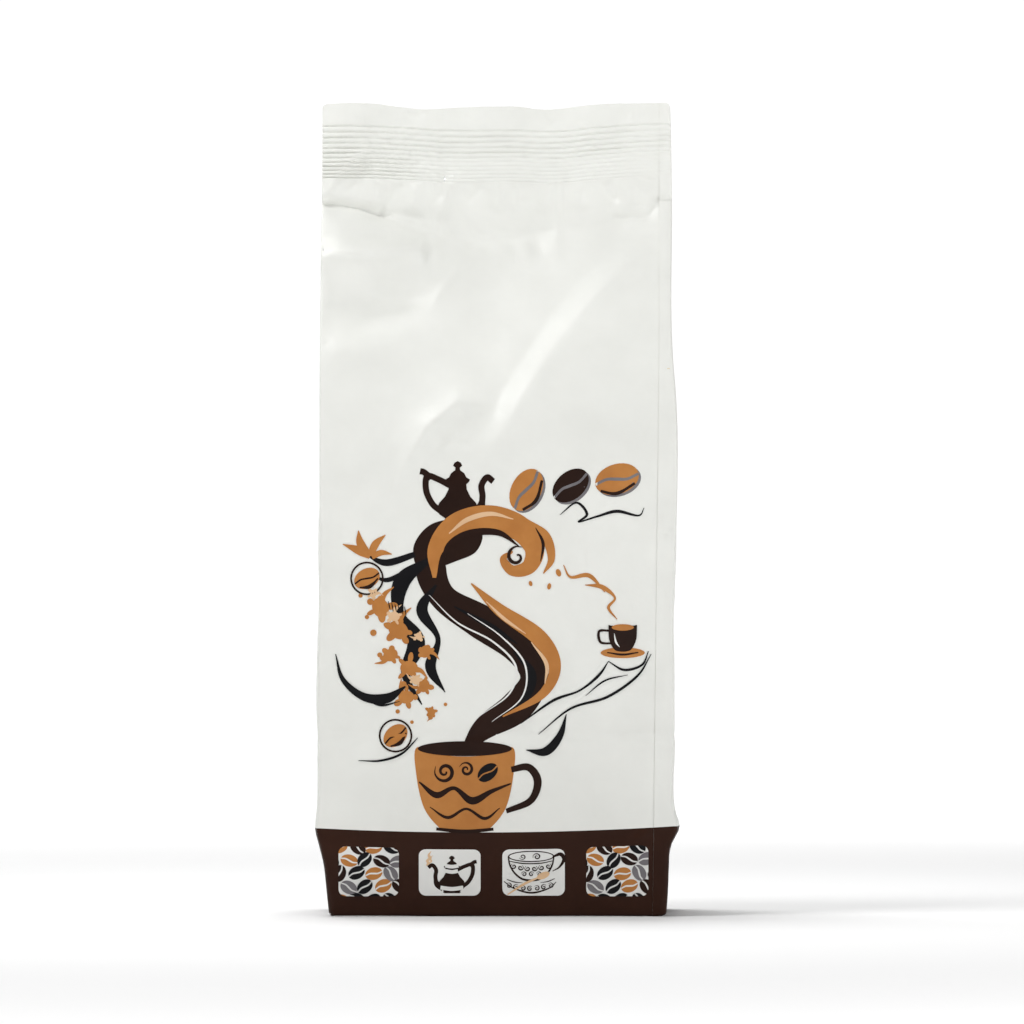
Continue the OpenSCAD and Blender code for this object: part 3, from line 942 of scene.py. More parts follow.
def oval(x, z, rx, rz, turn=0.0, count=36):
    a = np.linspace(0, 2 * math.pi, count, endpoint=False)
    c, s = math.cos(math.radians(turn)), math.sin(math.radians(turn))
    px, pz = rx * np.cos(a), rz * np.sin(a)
    return np.stack([x + px * c - pz * s, z + px * s + pz * c], 1)


def rounded_box(x0, z0, x1, z1, r):
    a = np.linspace(0, math.pi / 2, 7)
    corners = ((x1 - r, z1 - r, 0), (x0 + r, z1 - r, 1), (x0 + r, z0 + r, 2), (x1 - r, z0 + r, 3))
    return np.concatenate([
        np.stack([cx + r * np.cos(a + q * math.pi / 2), cz + r * np.sin(a + q * math.pi / 2)], 1)
        for cx, cz, q in corners
    ])


def placed(loop, x, z, size, turn=0.0, flip=False):
    """A loop drawn round (0, 0) at unit size, set in its place."""
    c, s = math.cos(math.radians(turn)), math.sin(math.radians(turn))
    px = np.asarray(loop)[:, 0] * (-size if flip else size)
    pz = np.asarray(loop)[:, 1] * size
    return np.stack([x + px * c - pz * s, z + px * s + pz * c], 1)


def bean_shape(x, z, length, turn, plump=0.66, slit=0.09):
    """A bean's outline and its curved slit."""
    half = length / 2
    body = oval(x, z, half, half * plump, turn, 30)
    line = [(-0.98, 0.06), (-0.45, 0.13), (0, 0), (0.45, -0.13), (0.98, -0.06)]
    return body, placed(stroke(line, [slit, slit * 1.4, slit]), x, z, half, turn)


def turned(loop, way):
    """The loop with its points anticlockwise for way 1, or clockwise for -1."""
    x, z = loop[:, 0], loop[:, 1]
    area = 0.5 * float(np.sum(x * np.roll(z, -1) - np.roll(x, -1) * z))
    return loop if area * way > 0 else loop[::-1]


def winding(points, loops):
    """How many times the loops run round each point."""
    total = np.zeros(len(points), int)
    for loop in loops:
        for (x0, z0), (x1, z1) in zip(loop, np.roll(loop, -1, axis=0)):
            side = (x1 - x0) * (points[:, 1] - z0) - (points[:, 0] - x0) * (z1 - z0)
            total += ((z0 <= points[:, 1]) & (z1 > points[:, 1]) & (side > 0)).astype(int)
            total -= ((z0 > points[:, 1]) & (z1 <= points[:, 1]) & (side < 0)).astype(int)
    return total


def close_points(loop, longest=1.0):
    """The same loop with points no further apart than the given distance."""
    out = []
    for a, b in zip(loop, np.roll(loop, -1, axis=0)):
        gap = float(np.hypot(*(b - a)))
        if gap < 1e-3:
            continue
        n = max(1, math.ceil(gap / longest))
        out += [a + (b - a) * k / n for k in range(n)]
    return np.array(out)


class Face:
    """A height map of the front or back, which the print lies on."""

    spacing = 0.5
    half_width, top = 50.01, 135.01

    def __init__(self, face):
        self.face = face
        self.x = np.arange(-50, self.half_width, self.spacing)
        self.z = np.arange(0, self.top, self.spacing)
        xx, zz = np.meshgrid(self.x, self.z)
        self.y = face_y(face, xx, zz)

    def points(self, flat, out):
        """Art points (x across as seen, z) on the surface, standing out from it."""
        x = flat[:, 0] * -self.face
        z = row_height(flat[:, 1], x)
        i = np.clip((x - self.x[0]) / self.spacing, 0, len(self.x) - 1.001)
        j = np.clip((z - self.z[0]) / self.spacing, 0, len(self.z) - 1.001)
        i0, j0 = i.astype(int), j.astype(int)
        a, b = i - i0, j - j0
        y = (
            self.y[j0, i0] * (1 - a) * (1 - b) + self.y[j0, i0 + 1] * a * (1 - b)
            + self.y[j0 + 1, i0] * (1 - a) * b + self.y[j0 + 1, i0 + 1] * a * b
        )
        return np.stack([x, y + self.face * out, z], 1)


INK_OUT = 0.075  # the lowest layer of ink stands this far out from the paper
INK_STEP = 0.035  # and each layer above it this much further
INK_SLOTS = {
    DARK_INK.name: "brown_print", BLACK_INK.name: "black_ink", ORANGE_INK.name: "orange_ink",
    PEACH_INK.name: "beige_ink", GREY_INK.name: "grey_ink", WHITE_INK.name: "white_paper",
}


def ink(name, face, material, layer, loops, holes=(), clip=None):
    """A layer of ink: thin closed solids on the paper, cut to the loops less the holes."""
    rings = [close_points(turned(loop, 1)) for loop in loops]
    rings += [close_points(turned(loop, -1)) for loop in holes]
    clips = [] if clip is None else [close_points(turned(clip, 1))]
    points, edges = [], []
    for loop in rings + clips:
        base = len(points)
        points += [Vector(p) for p in loop]
        edges += [(base + k, base + (k + 1) % len(loop)) for k in range(len(loop))]
    every = np.concatenate(rings)
    low, high = every.min(0), every.max(0)
    across, up = 1.25, 1.1  # spacing of the mesh points inside
    gx, gz = np.meshgrid(np.arange(low[0] + 0.6, high[0], across), np.arange(low[1] + 0.6, high[1], up))
    gx[1::2] += 0.62
    inner = np.stack([gx.ravel(), gz.ravel()], 1)
    if len(inner):
        inner = inner[winding(inner, rings) > 0]
        points += [Vector(p) for p in inner]
    made = geometry.delaunay_2d_cdt(points, edges, [], 0, 1e-4)
    flat = np.array([tuple(p) for p in made[0]])
    faces = np.array(made[2])
    middle = flat[faces].mean(axis=1)
    keep = winding(middle, rings) > 0
    if clips:
        keep &= winding(middle, clips) > 0
    faces = faces[keep]
    used, faces = np.unique(faces, return_inverse=True)
    faces = faces.reshape(-1, 3)
    flat = flat[used]
    count = len(flat)
    edge_list = np.concatenate([faces[:, [0, 1]], faces[:, [1, 2]], faces[:, [2, 0]]])
    keys = {tuple(e) for e in edge_list.tolist()}
    walls = [[a, a + count, b + count, b] for a, b in edge_list.tolist() if (b, a) not in keys]
    solids = faces.tolist() + (faces[:, ::-1] + count).tolist() + walls
    top = face.points(flat, INK_OUT + INK_STEP * layer)
    bottom = face.points(flat, 0.0)
    obj = new_object(name, np.concatenate([top, bottom]), solids, np.zeros(len(solids), int), [material])
    in_pouch(obj, INK_SLOTS[material.name])


# ---------------------------------------------------------------- the print: motifs


def pot_loops(x, z, size, flip=False):
    """A tall coffee pot with a curved spout, a looped handle and a knobbed lid, 1.2 high at unit size."""
    half = [
        (0.0, 0.0), (0.22, 0.0), (0.27, 0.03), (0.24, 0.07), (0.36, 0.15), (0.41, 0.26), (0.36, 0.38),
        (0.25, 0.50), (0.18, 0.64), (0.17, 0.74), (0.23, 0.80), (0.24, 0.84), (0.17, 0.88), (0.13, 0.96),
        (0.05, 1.02), (0.04, 1.07), (0.09, 1.11), (0.06, 1.17), (0.0, 1.2),
    ]
    body = np.array(half + [(-px, pz) for px, pz in half[-2:0:-1]])
    handle = stroke(
        [(0.15, 0.72), (0.38, 0.84), (0.60, 0.90), (0.62, 0.62), (0.50, 0.36), (0.34, 0.22)],
        [0.05, 0.05, 0.07, 0.09, 0.08, 0.05],
    )
    thumb = stroke([(0.52, 0.86), (0.66, 0.98), (0.74, 1.0)], [0.05, 0.05, 0.02])
    spout = stroke(
        [(-0.25, 0.18), (-0.44, 0.28), (-0.49, 0.50), (-0.47, 0.72), (-0.58, 0.88), (-0.70, 0.80)],
        [0.26, 0.18, 0.09, 0.07, 0.09, 0.03],
    )
    return [placed(loop, x, z, size, 0, flip) for loop in (body, handle, thumb, spout)]


def pot_bands(x, z, size):
    """Thin pale lines round the pot."""
    lines = strokes(
        ([(-0.34, 0.17), (0.0, 0.13), (0.34, 0.17)], [0.01, 0.03, 0.01]),
        ([(-0.18, 0.69), (0.0, 0.66), (0.18, 0.69)], [0.02, 0.035, 0.02]),
        ([(-0.2, 0.86), (0.0, 0.83), (0.2, 0.86)], [0.02, 0.03, 0.02]),
    )
    return [placed(loop, x, z, size) for loop in lines]


def print_coffee_swirl(face):
    """The main motif: a pot above, a stream of coffee that winds down, and a large cup under it."""
    # the large cup
    cup = blob([
        (-22.5, 47.5), (-22.6, 40), (-20.5, 31.5), (-16, 26.2), (-13.5, 25.3), (-4.5, 25.3), (-2, 26.2),
        (2.5, 31.5), (4.6, 40), (4.5, 47.5), (-2, 45.6), (-9, 45.0), (-16, 45.6),
    ])
    ink("print_cup_body", face, ORANGE_INK, 0, [cup])
    handle_out = stroke(
        [(4.0, 41.4), (8.8, 42.0), (11.4, 38.2), (9.4, 33.2), (2.6, 30.6)],
        [1.6, 2.0, 2.2, 1.8, 1.2],
    )
    coffee = oval(-9, 47.2, 13.2, 2.1)
    curls = [
        spiral(-14.6, 40.8, 3.0, 1.6, 0.95, 150), spiral(-8.6, 41.4, 2.1, 1.5, 0.75, 20, True),
        stroke(
            [(-18.8, 31.6), (-13.8, 29.0), (-8.6, 31.2), (-3.4, 28.8), (0.8, 31.4)],
            [0.2, 0.8, 0.6, 0.8, 0.2],
        ),
    ]
    wave = stroke(
        [(-21.8, 38), (-17, 34.6), (-12, 36.4), (-7, 33.2), (-1.5, 35.6), (3.9, 37.6)],
        [0.4, 1.6, 1.0, 1.9, 1.1, 0.4],
    )
    foot = stroke([(-17, 26.0), (-9, 25.35), (-1, 26.0)], [0.8, 1.1, 0.8])
    ink("print_cup_dark", face, DARK_INK, 1, [handle_out, coffee, wave, foot] + curls)
    bean_body, bean_slit = bean_shape(-2.6, 40.6, 6.4, 38)
    ink("print_cup_bean", face, BLACK_INK, 2, [bean_body], [bean_slit])

    # the stream, in four colours
    dark = stroke(
        [(-9, 47), (-3.5, 53), (5.5, 59), (10.4, 67), (6.5, 76), (-5, 83), (-15, 89.5), (-18.5, 98),
         (-15.4, 106)],
        [2.2, 6.5, 9.0, 7.8, 10.5, 9.5, 7.5, 8.5, 5.0],
    )
    lobe = blob([
        (-21, 97), (-23.4, 103.4), (-19, 109.6), (-11.5, 111.2), (-4.4, 108), (-5.6, 102.6), (-11, 99.8),
    ])
    ink("print_stream_dark", face, DARK_INK, 0, [dark, lobe])
    strands = strokes(
        (
            [(-19, 100), (-26.5, 94), (-27.5, 85), (-22.6, 77), (-25.5, 68), (-21, 59.5)],
            [1.5, 4.6, 3.0, 5.0, 2.6, 0.3],
        ),
        ([(-17, 93), (-21, 86), (-16.5, 78), (-18.6, 70), (-14.5, 63)], [0.6, 3.2, 1.4, 3.0, 0.2]),
        ([(-23, 101.5), (-31, 99.2), (-36.8, 101.5)], [1.6, 1.9, 0.2]),
        ([(-24, 97.5), (-30.5, 94.4), (-34.8, 95.6)], [1.2, 1.3, 0.2]),
        ([(2.5, 56.5), (8.4, 62), (9.6, 68.5), (4.6, 74.4)], [0.2, 2.0, 2.4, 0.3]),
        ([(-12, 87), (-2, 81.5), (5.6, 76.6)], [0.3, 1.8, 0.3]),
    )
    ink("print_stream_black", face, BLACK_INK, 1, strands)
    wave = stroke(
        [(-17.5, 95), (-17.2, 103), (-11.5, 109.6), (-2.5, 111.6), (6, 109), (10.4, 103.4), (9, 98.2),
         (4.4, 97), (1.8, 100.2), (4.4, 102.4)],
        [1.0, 4.4, 6.6, 7.4, 7.0, 5.6, 4.2, 3.0, 2.0, 0.5],
    )
    tip = stroke([(8.6, 111.2), (13.6, 106.6), (15.2, 100.4), (13.0, 96.2)], [0.4, 2.6, 2.0, 0.3])
    edge = stroke(
        [(1.6, 56.2), (12.6, 62.4), (16.2, 70.4), (11.6, 78.4), (0.8, 86.0), (-7.2, 93.4)],
        [0.4, 2.4, 3.4, 4.6, 3.4, 0.4],
    )
    drops = [
        oval(17.2, 96.4, 0.7, 1.1, 20, 18), oval(14.6, 92.6, 0.55, 0.9, -10, 18),
        oval(9.4, 93.4, 0.5, 0.75, 15, 18),
    ]
    ink("print_stream_orange", face, ORANGE_INK, 2, [wave, tip, edge] + drops)
    shade = [
        stroke(
            [(-15.4, 98), (-13.6, 104), (-7.8, 107.4), (0.4, 107.6), (6.2, 103.8)],
            [0.3, 1.4, 2.0, 1.7, 0.2],
        ),
        spiral(5.6, 100.9, 3.1, 1.1, 0.9, 60),
        stroke([(10.8, 109.0), (12.9, 104.6), (12.2, 99.6)], [0.2, 0.9, 0.2]),
    ]
    ink("print_stream_shade", face, DARK_INK, 3, shade)
    light = strokes(
        ([(-13.4, 107.4), (-8.4, 111.2), (-1.8, 112.9), (4.6, 111.4)], [0.3, 1.3, 1.2, 0.2]),
        ([(13.4, 65.4), (13.8, 71.0), (9.6, 77.0)], [0.2, 1.1, 0.2]),
        ([(8.0, 79.4), (2.0, 83.6), (-3.0, 88.4)], [0.2, 0.9, 0.2]),
    )
    ink("print_stream_light", face, PEACH_INK, 3, light)
    thin = strokes(
        (
            [(-4.6, 56.5), (3.6, 62.8), (5.2, 70.4), (-1.2, 77.2), (-11.2, 82.6), (-19.0, 90.2)],
            [0.1, 0.45, 0.6, 0.5, 0.4, 0.1],
        ),
        ([(-1.4, 54.8), (7.0, 61.6), (7.8, 70.8), (1.2, 78.6), (-8.2, 85.0)], [0.1, 0.4, 0.5, 0.4, 0.1]),
    )
    ink("print_stream_lines", face, WHITE_INK, 3, thin)

    # the pot
    ink("print_pot", face, DARK_INK, 1, pot_loops(-11.0, 110.6, 14.2, True))


def print_splashes(face):
    """Drops and splashes to the left of the stream."""
    rng = random.Random(5)

    def stain(x, z, size):
        loops = [oval(x, z, size * 0.62, size * 0.5, rng.uniform(0, 180), 24)]
        for k in range(5):
            a = 2 * math.pi * (k + rng.uniform(-0.25, 0.25)) / 5
            r = size * rng.uniform(0.45, 0.75)
            px, pz = x + r * math.cos(a), z + r * math.sin(a)
            long, short = size * rng.uniform(0.18, 0.4), size * rng.uniform(0.14, 0.26)
            loops.append(oval(px, pz, long, short, math.degrees(a), 18))
        a = rng.uniform(0, 2 * math.pi)
        far = (x + 1.5 * size * math.cos(a), z + 1.5 * size * math.sin(a))
        bent = (x + 0.8 * size * math.cos(a + 0.3), z + 0.8 * size * math.sin(a + 0.3))
        loops.append(stroke([(x, z), bent, far], [0.35 * size, 0.3 * size, 0.05 * size]))
        return loops

    orange = []
    for x, z, size in (
        (-32.6, 86.6, 4.6), (-27.6, 80.4, 4.8), (-29.8, 73.4, 3.4), (-24.6, 69.8, 4.0), (-20.0, 74.4, 3.0),
        (-25.4, 61.6, 3.6), (-20.4, 64.8, 3.0), (-18.4, 57.6, 2.0),
    ):
        orange += stain(x, z, size)
    orange += strokes(
        ([(-35.5, 101.0), (-38.6, 102.6), (-43.2, 104.4)], [1.6, 2.4, 0.2]),
        ([(-35.8, 101.4), (-38.2, 104.6), (-38.8, 108.2)], [1.6, 2.3, 0.2]),
        ([(-35.4, 101.2), (-34.0, 104.4), (-31.2, 107.0)], [1.6, 2.1, 0.2]),
        ([(-35.0, 100.8), (-32.4, 102.0), (-29.4, 101.6)], [1.4, 1.6, 0.2]),
    )
    drops = [oval(x, z, r, r) for x, z, r in (
        (-34.6, 79.6, 0.9), (-36.4, 84.0, 0.6), (-32.8, 73.4, 0.7), (-26.2, 65.2, 0.9), (-27.8, 57.6, 0.6),
        (-18.6, 56.0, 0.7), (-14.4, 59.6, 0.5), (-38.2, 90.0, 0.6), (-23.8, 54.6, 0.5),
    )]
    ink("print_splash_orange", face, ORANGE_INK, 2, orange + drops)
    pale = []
    for x, z, size in ((-28.8, 84.2, 2.6), (-22.6, 66.4, 2.2), (-34.6, 90.6, 1.9), (-21.8, 78.6, 1.8)):
        pale += stain(x, z, size)
    ink("print_splash_pale", face, PEACH_INK, 3, pale)
    ticks = [
        stroke([(-30.4 + 0.9 * k, 88.4 - 0.3 * k), (-29.9 + 0.9 * k, 86.0 - 0.3 * k)], [0.1, 0.32, 0.1])
        for k in range(6)
    ]
    ink("print_splash_ticks", face, BLACK_INK, 4, ticks)


def print_ringed_beans(face):
    """Two beans, each in a thin ring."""
    for name, x, z, turn in (("upper", -36.4, 94.8, 28), ("lower", -28.4, 50.8, 42)):
        ink(f"print_ring_{name}", face, DARK_INK, 3, [oval(x, z, 4.7, 4.7)], [oval(x, z, 4.2, 4.2)])
        body, slit = bean_shape(x, z, 7.6, turn, 0.72)
        ink(f"print_ring_bean_{name}", face, ORANGE_INK, 3, [body])
        shadow = stroke([(-0.8, -0.34), (-0.1, -0.62), (0.72, -0.38)], [0.03, 0.3, 0.03])
        shadow = placed(shadow, x, z, 3.8, turn)
        ink(f"print_ring_slit_{name}", face, DARK_INK, 4, [slit, shadow])


def print_flourishes(face):
    """Free brush lines at both sides."""
    black = strokes(
        (
            [(-45.2, 73.6), (-43.2, 66.6), (-37.6, 61.8), (-31.0, 61.2), (-25.6, 64.6)],
            [0.2, 1.3, 2.2, 2.8, 0.4],
        ),
        ([(-39.6, 63.2), (-33.0, 59.4), (-27.2, 60.4)], [0.15, 0.7, 0.15]),
        ([(-38.8, 43.8), (-32.6, 43.8), (-26.6, 45.8), (-22.2, 50.2)], [0.15, 0.6, 0.6, 0.2]),
        ([(8.2, 46.8), (13.6, 46.4), (17.6, 50.8), (19.4, 56.8)], [0.2, 2.4, 1.9, 0.2]),
        ([(6.6, 54.2), (15.6, 60.6), (23.0, 63.4), (28.4, 67.6), (31.2, 71.6)], [0.2, 0.75, 0.55, 0.75, 0.2]),
        (
            [(11.6, 51.2), (20.6, 58.4), (30.8, 61.6), (39.2, 67.4), (43.2, 73.6)],
            [0.15, 0.6, 0.75, 0.65, 0.15],
        ),
        ([(31.2, 71.6), (35.6, 69.2), (40.6, 70.6), (42.4, 74.4)], [0.2, 0.7, 0.6, 0.2]),
        ([(24.8, 62.0), (30.2, 66.2), (36.6, 67.8)], [0.1, 0.5, 0.1]),
    )
    ink("print_brush_lines", face, BLACK_INK, 3, black)


def print_small_cup(face):
    """A small cup on a saucer, with two threads of steam."""
    x, z = put = np.array([35.2, 73.4])
    ink("print_small_saucer", face, ORANGE_INK, 3, [oval(x, z + 0.6, 6.2, 1.5)])
    cup = catmull([
        (-4.0, 8.2), (-3.8, 4.4), (-2.6, 1.8), (-1.2, 1.0), (1.2, 1.0), (2.6, 1.8), (3.8, 4.4), (4.0, 8.2),
    ])
    lines = strokes(
        ([(-4.0, 8.2), (0, 7.2), (4.0, 8.2)], [0.4, 0.4, 0.4]),
        ([(-3.9, 6.8), (-6.6, 6.6), (-6.2, 3.6), (-3.0, 3.2)], [0.6, 0.7, 0.7, 0.5]),
        ([(-4.4, 0.7), (0, 0.1), (4.4, 0.7)], [0.3, 0.6, 0.3]),
    )
    glint = stroke([(-2.4, 6.0), (-1.9, 3.6), (-0.9, 2.2)], [0.1, 0.55, 0.1])
    ink("print_small_cup", face, DARK_INK, 4, [loop + put for loop in [cup] + lines])
    ink("print_small_coffee", face, ORANGE_INK, 5, [oval(x, z + 7.7, 3.1, 0.9)])
    ink("print_small_glint", face, WHITE_INK, 5, [glint + put])
    steam = strokes(
        ([(33.6, 83.4), (31.2, 86.6), (33.0, 89.4), (29.4, 92.4), (24.6, 93.0)], [0.2, 0.8, 0.6, 1.3, 0.2]),
        ([(30.2, 91.0), (25.8, 95.6), (20.6, 95.2), (18.6, 98.6)], [0.2, 1.2, 0.7, 0.2]),
    )
    ink("print_small_steam", face, ORANGE_INK, 3, steam)


def print_bean_trio(face):
    """Three large beans over a thin curl, where a pack has its heading."""
    for k, (x, z, length, turn, material) in enumerate((
        (8.2, 119.6, 12.6, 62, ORANGE_INK), (20.6, 120.8, 11.6, 40, DARK_INK),
        (33.6, 122.6, 12.6, 18, ORANGE_INK),
    )):
        shadow = oval(x + 0.6, z - 0.55, length / 2, length * 0.335, turn)
        ink(f"print_trio_shadow_{k}", face, GREY_INK, 0, [shadow])
        body, slit = bean_shape(x, z, length, turn, 0.67, 0.1)
        ink(f"print_trio_bean_{k}", face, material, 1, [body], [slit])
        if material is ORANGE_INK:
            rim = stroke([(-0.86, -0.28), (-0.2, -0.6), (0.7, -0.42)], [0.03, 0.16, 0.03])
            rim = placed(rim, x, z, length / 2, turn)
            ink(f"print_trio_rim_{k}", face, DARK_INK, 2, [rim])
    curl = stroke(
        [(17.6, 112.6), (22.2, 116.0), (25.2, 112.8), (22.8, 110.6), (28.2, 112.2), (33.6, 113.6),
         (39.6, 112.4), (41.2, 114.6)],
        [0.15, 0.6, 0.75, 0.4, 0.6, 0.9, 0.5, 0.15],
    )
    ink("print_trio_curl", face, BLACK_INK, 1, [curl])


# The band's four pictures: left, right, low and high sides
PICTURES = [
    (-44.4, -27.5, 5.7, 20.2), (-21.9, -4.6, 5.9, 19.9), (1.5, 19.0, 5.9, 19.9), (25.0, 42.4, 5.7, 20.2),
]


def picture_box(area):
    x0, x1, z0, z1 = area
    return rounded_box(x0, z0, x1, z1, 2.0)


def print_bean_picture(face, name, area, seed):
    """Beans of four colours, packed close and cut off at the picture's edge."""
    x0, _, _, z1 = area
    clip = picture_box(area)
    rng = random.Random(seed)
    inks = (("orange", ORANGE_INK), ("brown", DARK_INK), ("black", BLACK_INK), ("grey", GREY_INK))
    loops, holes = [[] for _ in inks], [[] for _ in inks]
    order = [0, 1, 0, 2, 2, 2, 0, 2, 1, 3, 1, 2, 0, 3, 1, 0, 3, 2]  # which ink each bean takes
    turns = [25, 140, 10, 150, 35, 130, 170, 60, 165, 20, 75, 35, 15, 120, 30, 95, 160, 50]
    rows = cols = 5
    for k in range(rows * cols):
        row, col = divmod(k, cols)
        x = x0 + 0.4 + col * 4.75 - (2.4 if row % 2 else 0) + rng.uniform(-0.3, 0.3)
        z = z1 - 0.2 - row * 3.85 + rng.uniform(-0.25, 0.25)
        turn = turns[k % len(turns)] + rng.uniform(-8, 8)
        body, slit = bean_shape(x, z, 4.9, turn, 0.74, 0.15)
        loops[order[k % len(order)]].append(body)
        holes[order[k % len(order)]].append(slit)
    for level, (key, material) in enumerate(inks):
        ink(f"print_{name}_{key}", face, material, 1 + level, loops[level], holes[level], clip)


def print_pot_picture(face, name, area):
    """The same pot as over the stream, small, with its steam."""
    x0, x1, z0, _ = area
    x, z = (x0 + x1) / 2 + 0.6, z0 + 0.7
    ink(f"print_{name}_pot", face, DARK_INK, 1, pot_loops(x, z, 9.4))
    ink(f"print_{name}_bands", face, WHITE_INK, 2, pot_bands(x, z, 9.4))
    steam = strokes(
        (
            [(-0.5, 0), (0.1, 0.8), (-0.3, 1.5), (0.5, 2.3), (0.2, 3.4), (0.9, 4.6)],
            [0.3, 0.9, 0.6, 1.0, 0.6, 0.1],
        ),
        ([(0.3, 0.6), (0.9, 1.4), (0.6, 2.2), (1.3, 3.2)], [0.1, 0.5, 0.4, 0.1]),
    )
    put = np.array([x0 + 2.6, z0 + 8.8])
    ink(f"print_{name}_steam", face, PEACH_INK, 1, [loop + put for loop in steam])


def print_cup_picture(face, name, area):
    """A curled line cup on a saucer, with a spoon."""
    x0, x1, z0, _ = area
    x, z = (x0 + x1) / 2 - 0.7, z0 + 2.7
    bowl = stroke(
        [(-6.4, 9.0), (-5.9, 6.2), (-4.4, 3.6), (-1.9, 1.9), (1.9, 1.9), (4.4, 3.6), (5.9, 6.2), (6.4, 9.0)],
        [0.35, 0.5, 0.6, 0.5, 0.35],
    )
    rim_out, rim_in = oval(0, 9.0, 6.5, 1.8), oval(0, 9.0, 6.1, 1.45)
    rim_curls = [spiral(-2.4, 8.9, 0.95, 1.4, 0.3, 200), spiral(1.6, 8.9, 1.15, 1.5, 0.35, -20, True)]
    row = [
        spiral(-4.9 + 1.95 * k, 5.9 - 0.75 * math.sin(math.pi * k / 5), 0.86, 1.4, 0.34, 120, k % 2 == 1)
        for k in range(6)
    ]
    low = [spiral(-2.0 + 2.1 * k, 3.5, 0.8, 1.3, 0.3, 20, k % 2 == 0) for k in range(3)]
    lip = stroke([(-6.3, 7.6), (-3.2, 6.9), (0, 6.7), (3.2, 6.9), (6.3, 7.6)], [0.2, 0.35, 0.35, 0.35, 0.2])
    handle = stroke([(6.1, 8.8), (8.2, 9.6), (9.2, 8.0), (7.9, 5.6), (6.0, 4.4)], [0.5, 1.1, 1.0, 0.5, 0.2])
    saucer = [
        spiral(-6.2 + 1.95 * k, 0.2 - 0.9 * math.sin(math.pi * k / 6), 0.82, 1.4, 0.32, 40, k % 2 == 0)
        for k in range(7)
    ]
    edges = strokes(
        ([(-7.6, 1.4), (-5.0, -0.5), (0, -1.9), (5.0, -0.6), (7.0, 1.2)], [0.2, 0.35, 0.5, 0.35, 0.2]),
        ([(-6.8, 2.0), (-4.6, 1.2), (-2.4, 1.0)], [0.2, 0.3, 0.1]),
        ([(2.6, 1.0), (4.8, 1.4), (6.6, 2.2)], [0.1, 0.3, 0.2]),
    )
    put = np.array([x, z])
    ink(f"print_{name}_rim", face, DARK_INK, 1, [rim_out + put], [rim_in + put])
    lines = [bowl, lip, handle] + rim_curls + row + low + saucer + edges
    ink(f"print_{name}_cup", face, DARK_INK, 2, [loop + put for loop in lines])
    spoon = [
        stroke([(-6.6, -2.4), (-2.0, 0.6), (1.8, 2.4)], [0.3, 0.7, 0.5]) + put,
        oval(x + 3.4, z + 3.1, 1.9, 0.95, 24),
    ]
    ink(f"print_{name}_spoon", face, PEACH_INK, 3, spoon)


def print_band(face, side):
    """The row of four pictures on the brown band."""
    for k, area in enumerate(PICTURES):
        name = f"{side}_picture_{k + 1}"
        ink(f"print_{name}", face, WHITE_INK, 0, [picture_box(area)])
        if k in (0, 3):
            print_bean_picture(face, name, area, 80 + k)
        elif k == 1:
            print_pot_picture(face, name, area)
        else:
            print_cup_picture(face, name, area)


def make_print():
    front = Face(-1)
    print_coffee_swirl(front)
    print_splashes(front)
    print_ringed_beans(front)
    print_flourishes(front)
    print_small_cup(front)
    print_bean_trio(front)
    print_band(front, "front")
    print_band(Face(1), "back")


# ---------------------------------------------------------------- what stays from the CAD


def dress_cad_nodes():
    """The hidden pieces keep their CAD shapes and take their own materials."""
    for name, material in (
        ("base_tuck_left", WHITE), ("base_tuck_right", WHITE), ("base_glue", GLUE),
        ("coffee_beans", ROASTED),
    ):
        mesh = frame["nodes"][name].data
        mesh.materials.clear()
        mesh.materials.append(material)


# ---------------------------------------------------------------- stage


def make_stage():
    """A wide round floor: lit near the bag, and glowing white further out as a backdrop."""
    spokes = 96
    radii = (0.5, 1.0, 2.0, 5.0, 16.0)
    points = [(0, 0, 0)]
    for radius in radii:
        for n in range(spokes):
            a = 2 * math.pi * n / spokes
            points.append((radius * math.cos(a), radius * math.sin(a), 0))
    faces = [(0, 1 + n, 1 + (n + 1) % spokes) for n in range(spokes)]
    for k in range(len(radii) - 1):
        inner, outer = 1 + k * spokes, 1 + (k + 1) * spokes
        faces += [
            (inner + n, outer + n, outer + (n + 1) % spokes, inner + (n + 1) % spokes) for n in range(spokes)
        ]
    mesh = bpy.data.meshes.new("stage")
    mesh.from_pydata(points, [], faces)
    material, tree, shader = new_material("stage_white")
    place = tree.nodes.new("ShaderNodeTexCoord").outputs["Object"]
    length = node(tree, "ShaderNodeVectorMath", Vector=place)
    length.operation = "LENGTH"
    glow = node(
        tree, "ShaderNodeMapRange", From_Min=0.35, From_Max=1.2, To_Min=0.0, To_Max=0.92,
        Value=length.outputs["Value"],
    )
    glow.interpolation_type = "SMOOTHSTEP"
    fill(
        tree, shader, Base_Color=(0.93, 0.93, 0.93, 1), Roughness=0.9, Specular_IOR_Level=0.1,
        Emission_Color=(1, 1, 1, 1), Emission_Strength=glow.outputs["Result"],
    )
    mesh.materials.append(material)
    stage = add_object("stage", mesh)


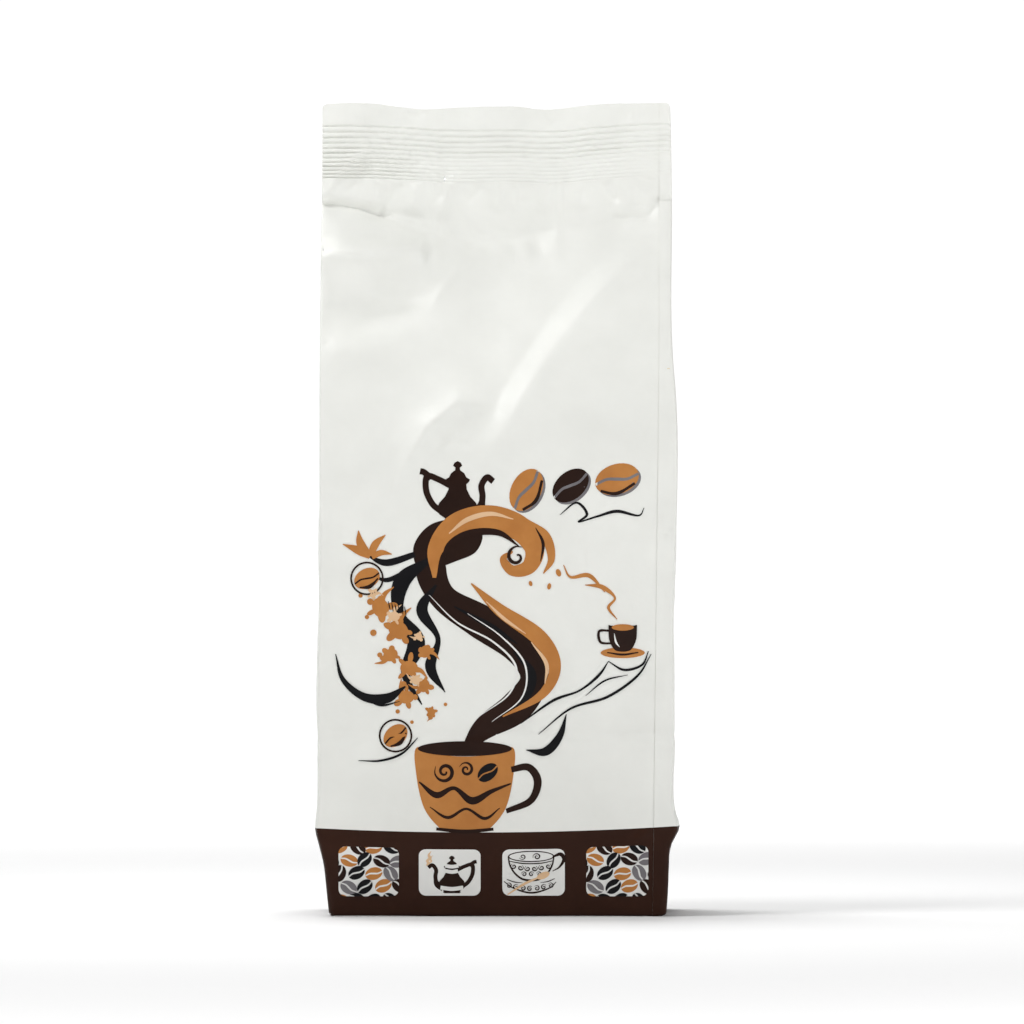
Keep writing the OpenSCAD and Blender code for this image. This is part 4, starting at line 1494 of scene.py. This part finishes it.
def area_light(name, place, target, size, power):
    data = bpy.data.lights.new(name, "AREA")
    data.shape = "RECTANGLE"
    data.size, data.size_y = size
    data.energy = power
    lamp = add_object(name, data)
    lamp.location = place
    lamp.rotation_euler = (Vector(target) - Vector(place)).to_track_quat("-Z", "Y").to_euler()


def make_world():
    """Soft light from all round, with a white backdrop near the horizon."""
    world = bpy.data.worlds.new("studio")
    world.use_nodes = True
    tree = world.node_tree
    place = tree.nodes.new("ShaderNodeTexCoord").outputs["Generated"]
    split = node(tree, "ShaderNodeSeparateXYZ", Vector=place)
    height = node(tree, "ShaderNodeMath", Value=split.outputs["Z"])
    height.operation = "ABSOLUTE"
    strength = node(
        tree, "ShaderNodeMapRange", From_Min=0.06, From_Max=0.12, To_Min=1.05, To_Max=0.2,
        Value=height.outputs["Value"],
    )
    strength.interpolation_type = "SMOOTHSTEP"
    fill(tree, tree.nodes["Background"], Color=(1, 1, 1, 1), Strength=strength.outputs["Result"])
    bpy.context.scene.world = world


def make_lights():
    make_world()
    area_light("key_light", (-0.36, -0.30, 0.82), (0, 0, 0.14), (0.30, 0.28), 3.3)
    area_light("fill_light", (0.75, -0.75, 0.32), (0, 0, 0.1), (0.5, 0.5), 3.0)
    area_light("back_light", (-0.1, 0.32, 1.0), (0, 0, 0.1), (0.5, 0.4), 7.2)


def make_camera():
    """Level with the middle of the bag, square to its front, as far off as flattens it."""
    frame_width = 0.2867  # width of the picture at the front's plane
    distance = 3.0
    aim_x, front, aim_z = 0.0042, 0.033, 0.1134  # the picture's middle, and how far forward the front stands
    sensor = 36.0
    data = bpy.data.cameras.new("camera")
    data.sensor_width = sensor
    data.lens = sensor * distance / frame_width
    camera = add_object("camera", data)
    camera.location = (aim_x, -distance - front, aim_z)
    camera.rotation_euler = (math.radians(90), 0, 0)
    bpy.context.scene.camera = camera
    bpy.context.scene.view_settings.view_transform = "Standard"


make_camera()
make_stage()
make_lights()
make_panels()
make_lap()
make_base()
make_liner()
make_coffee()
make_film_seal()
make_print()
dress_cad_nodes()
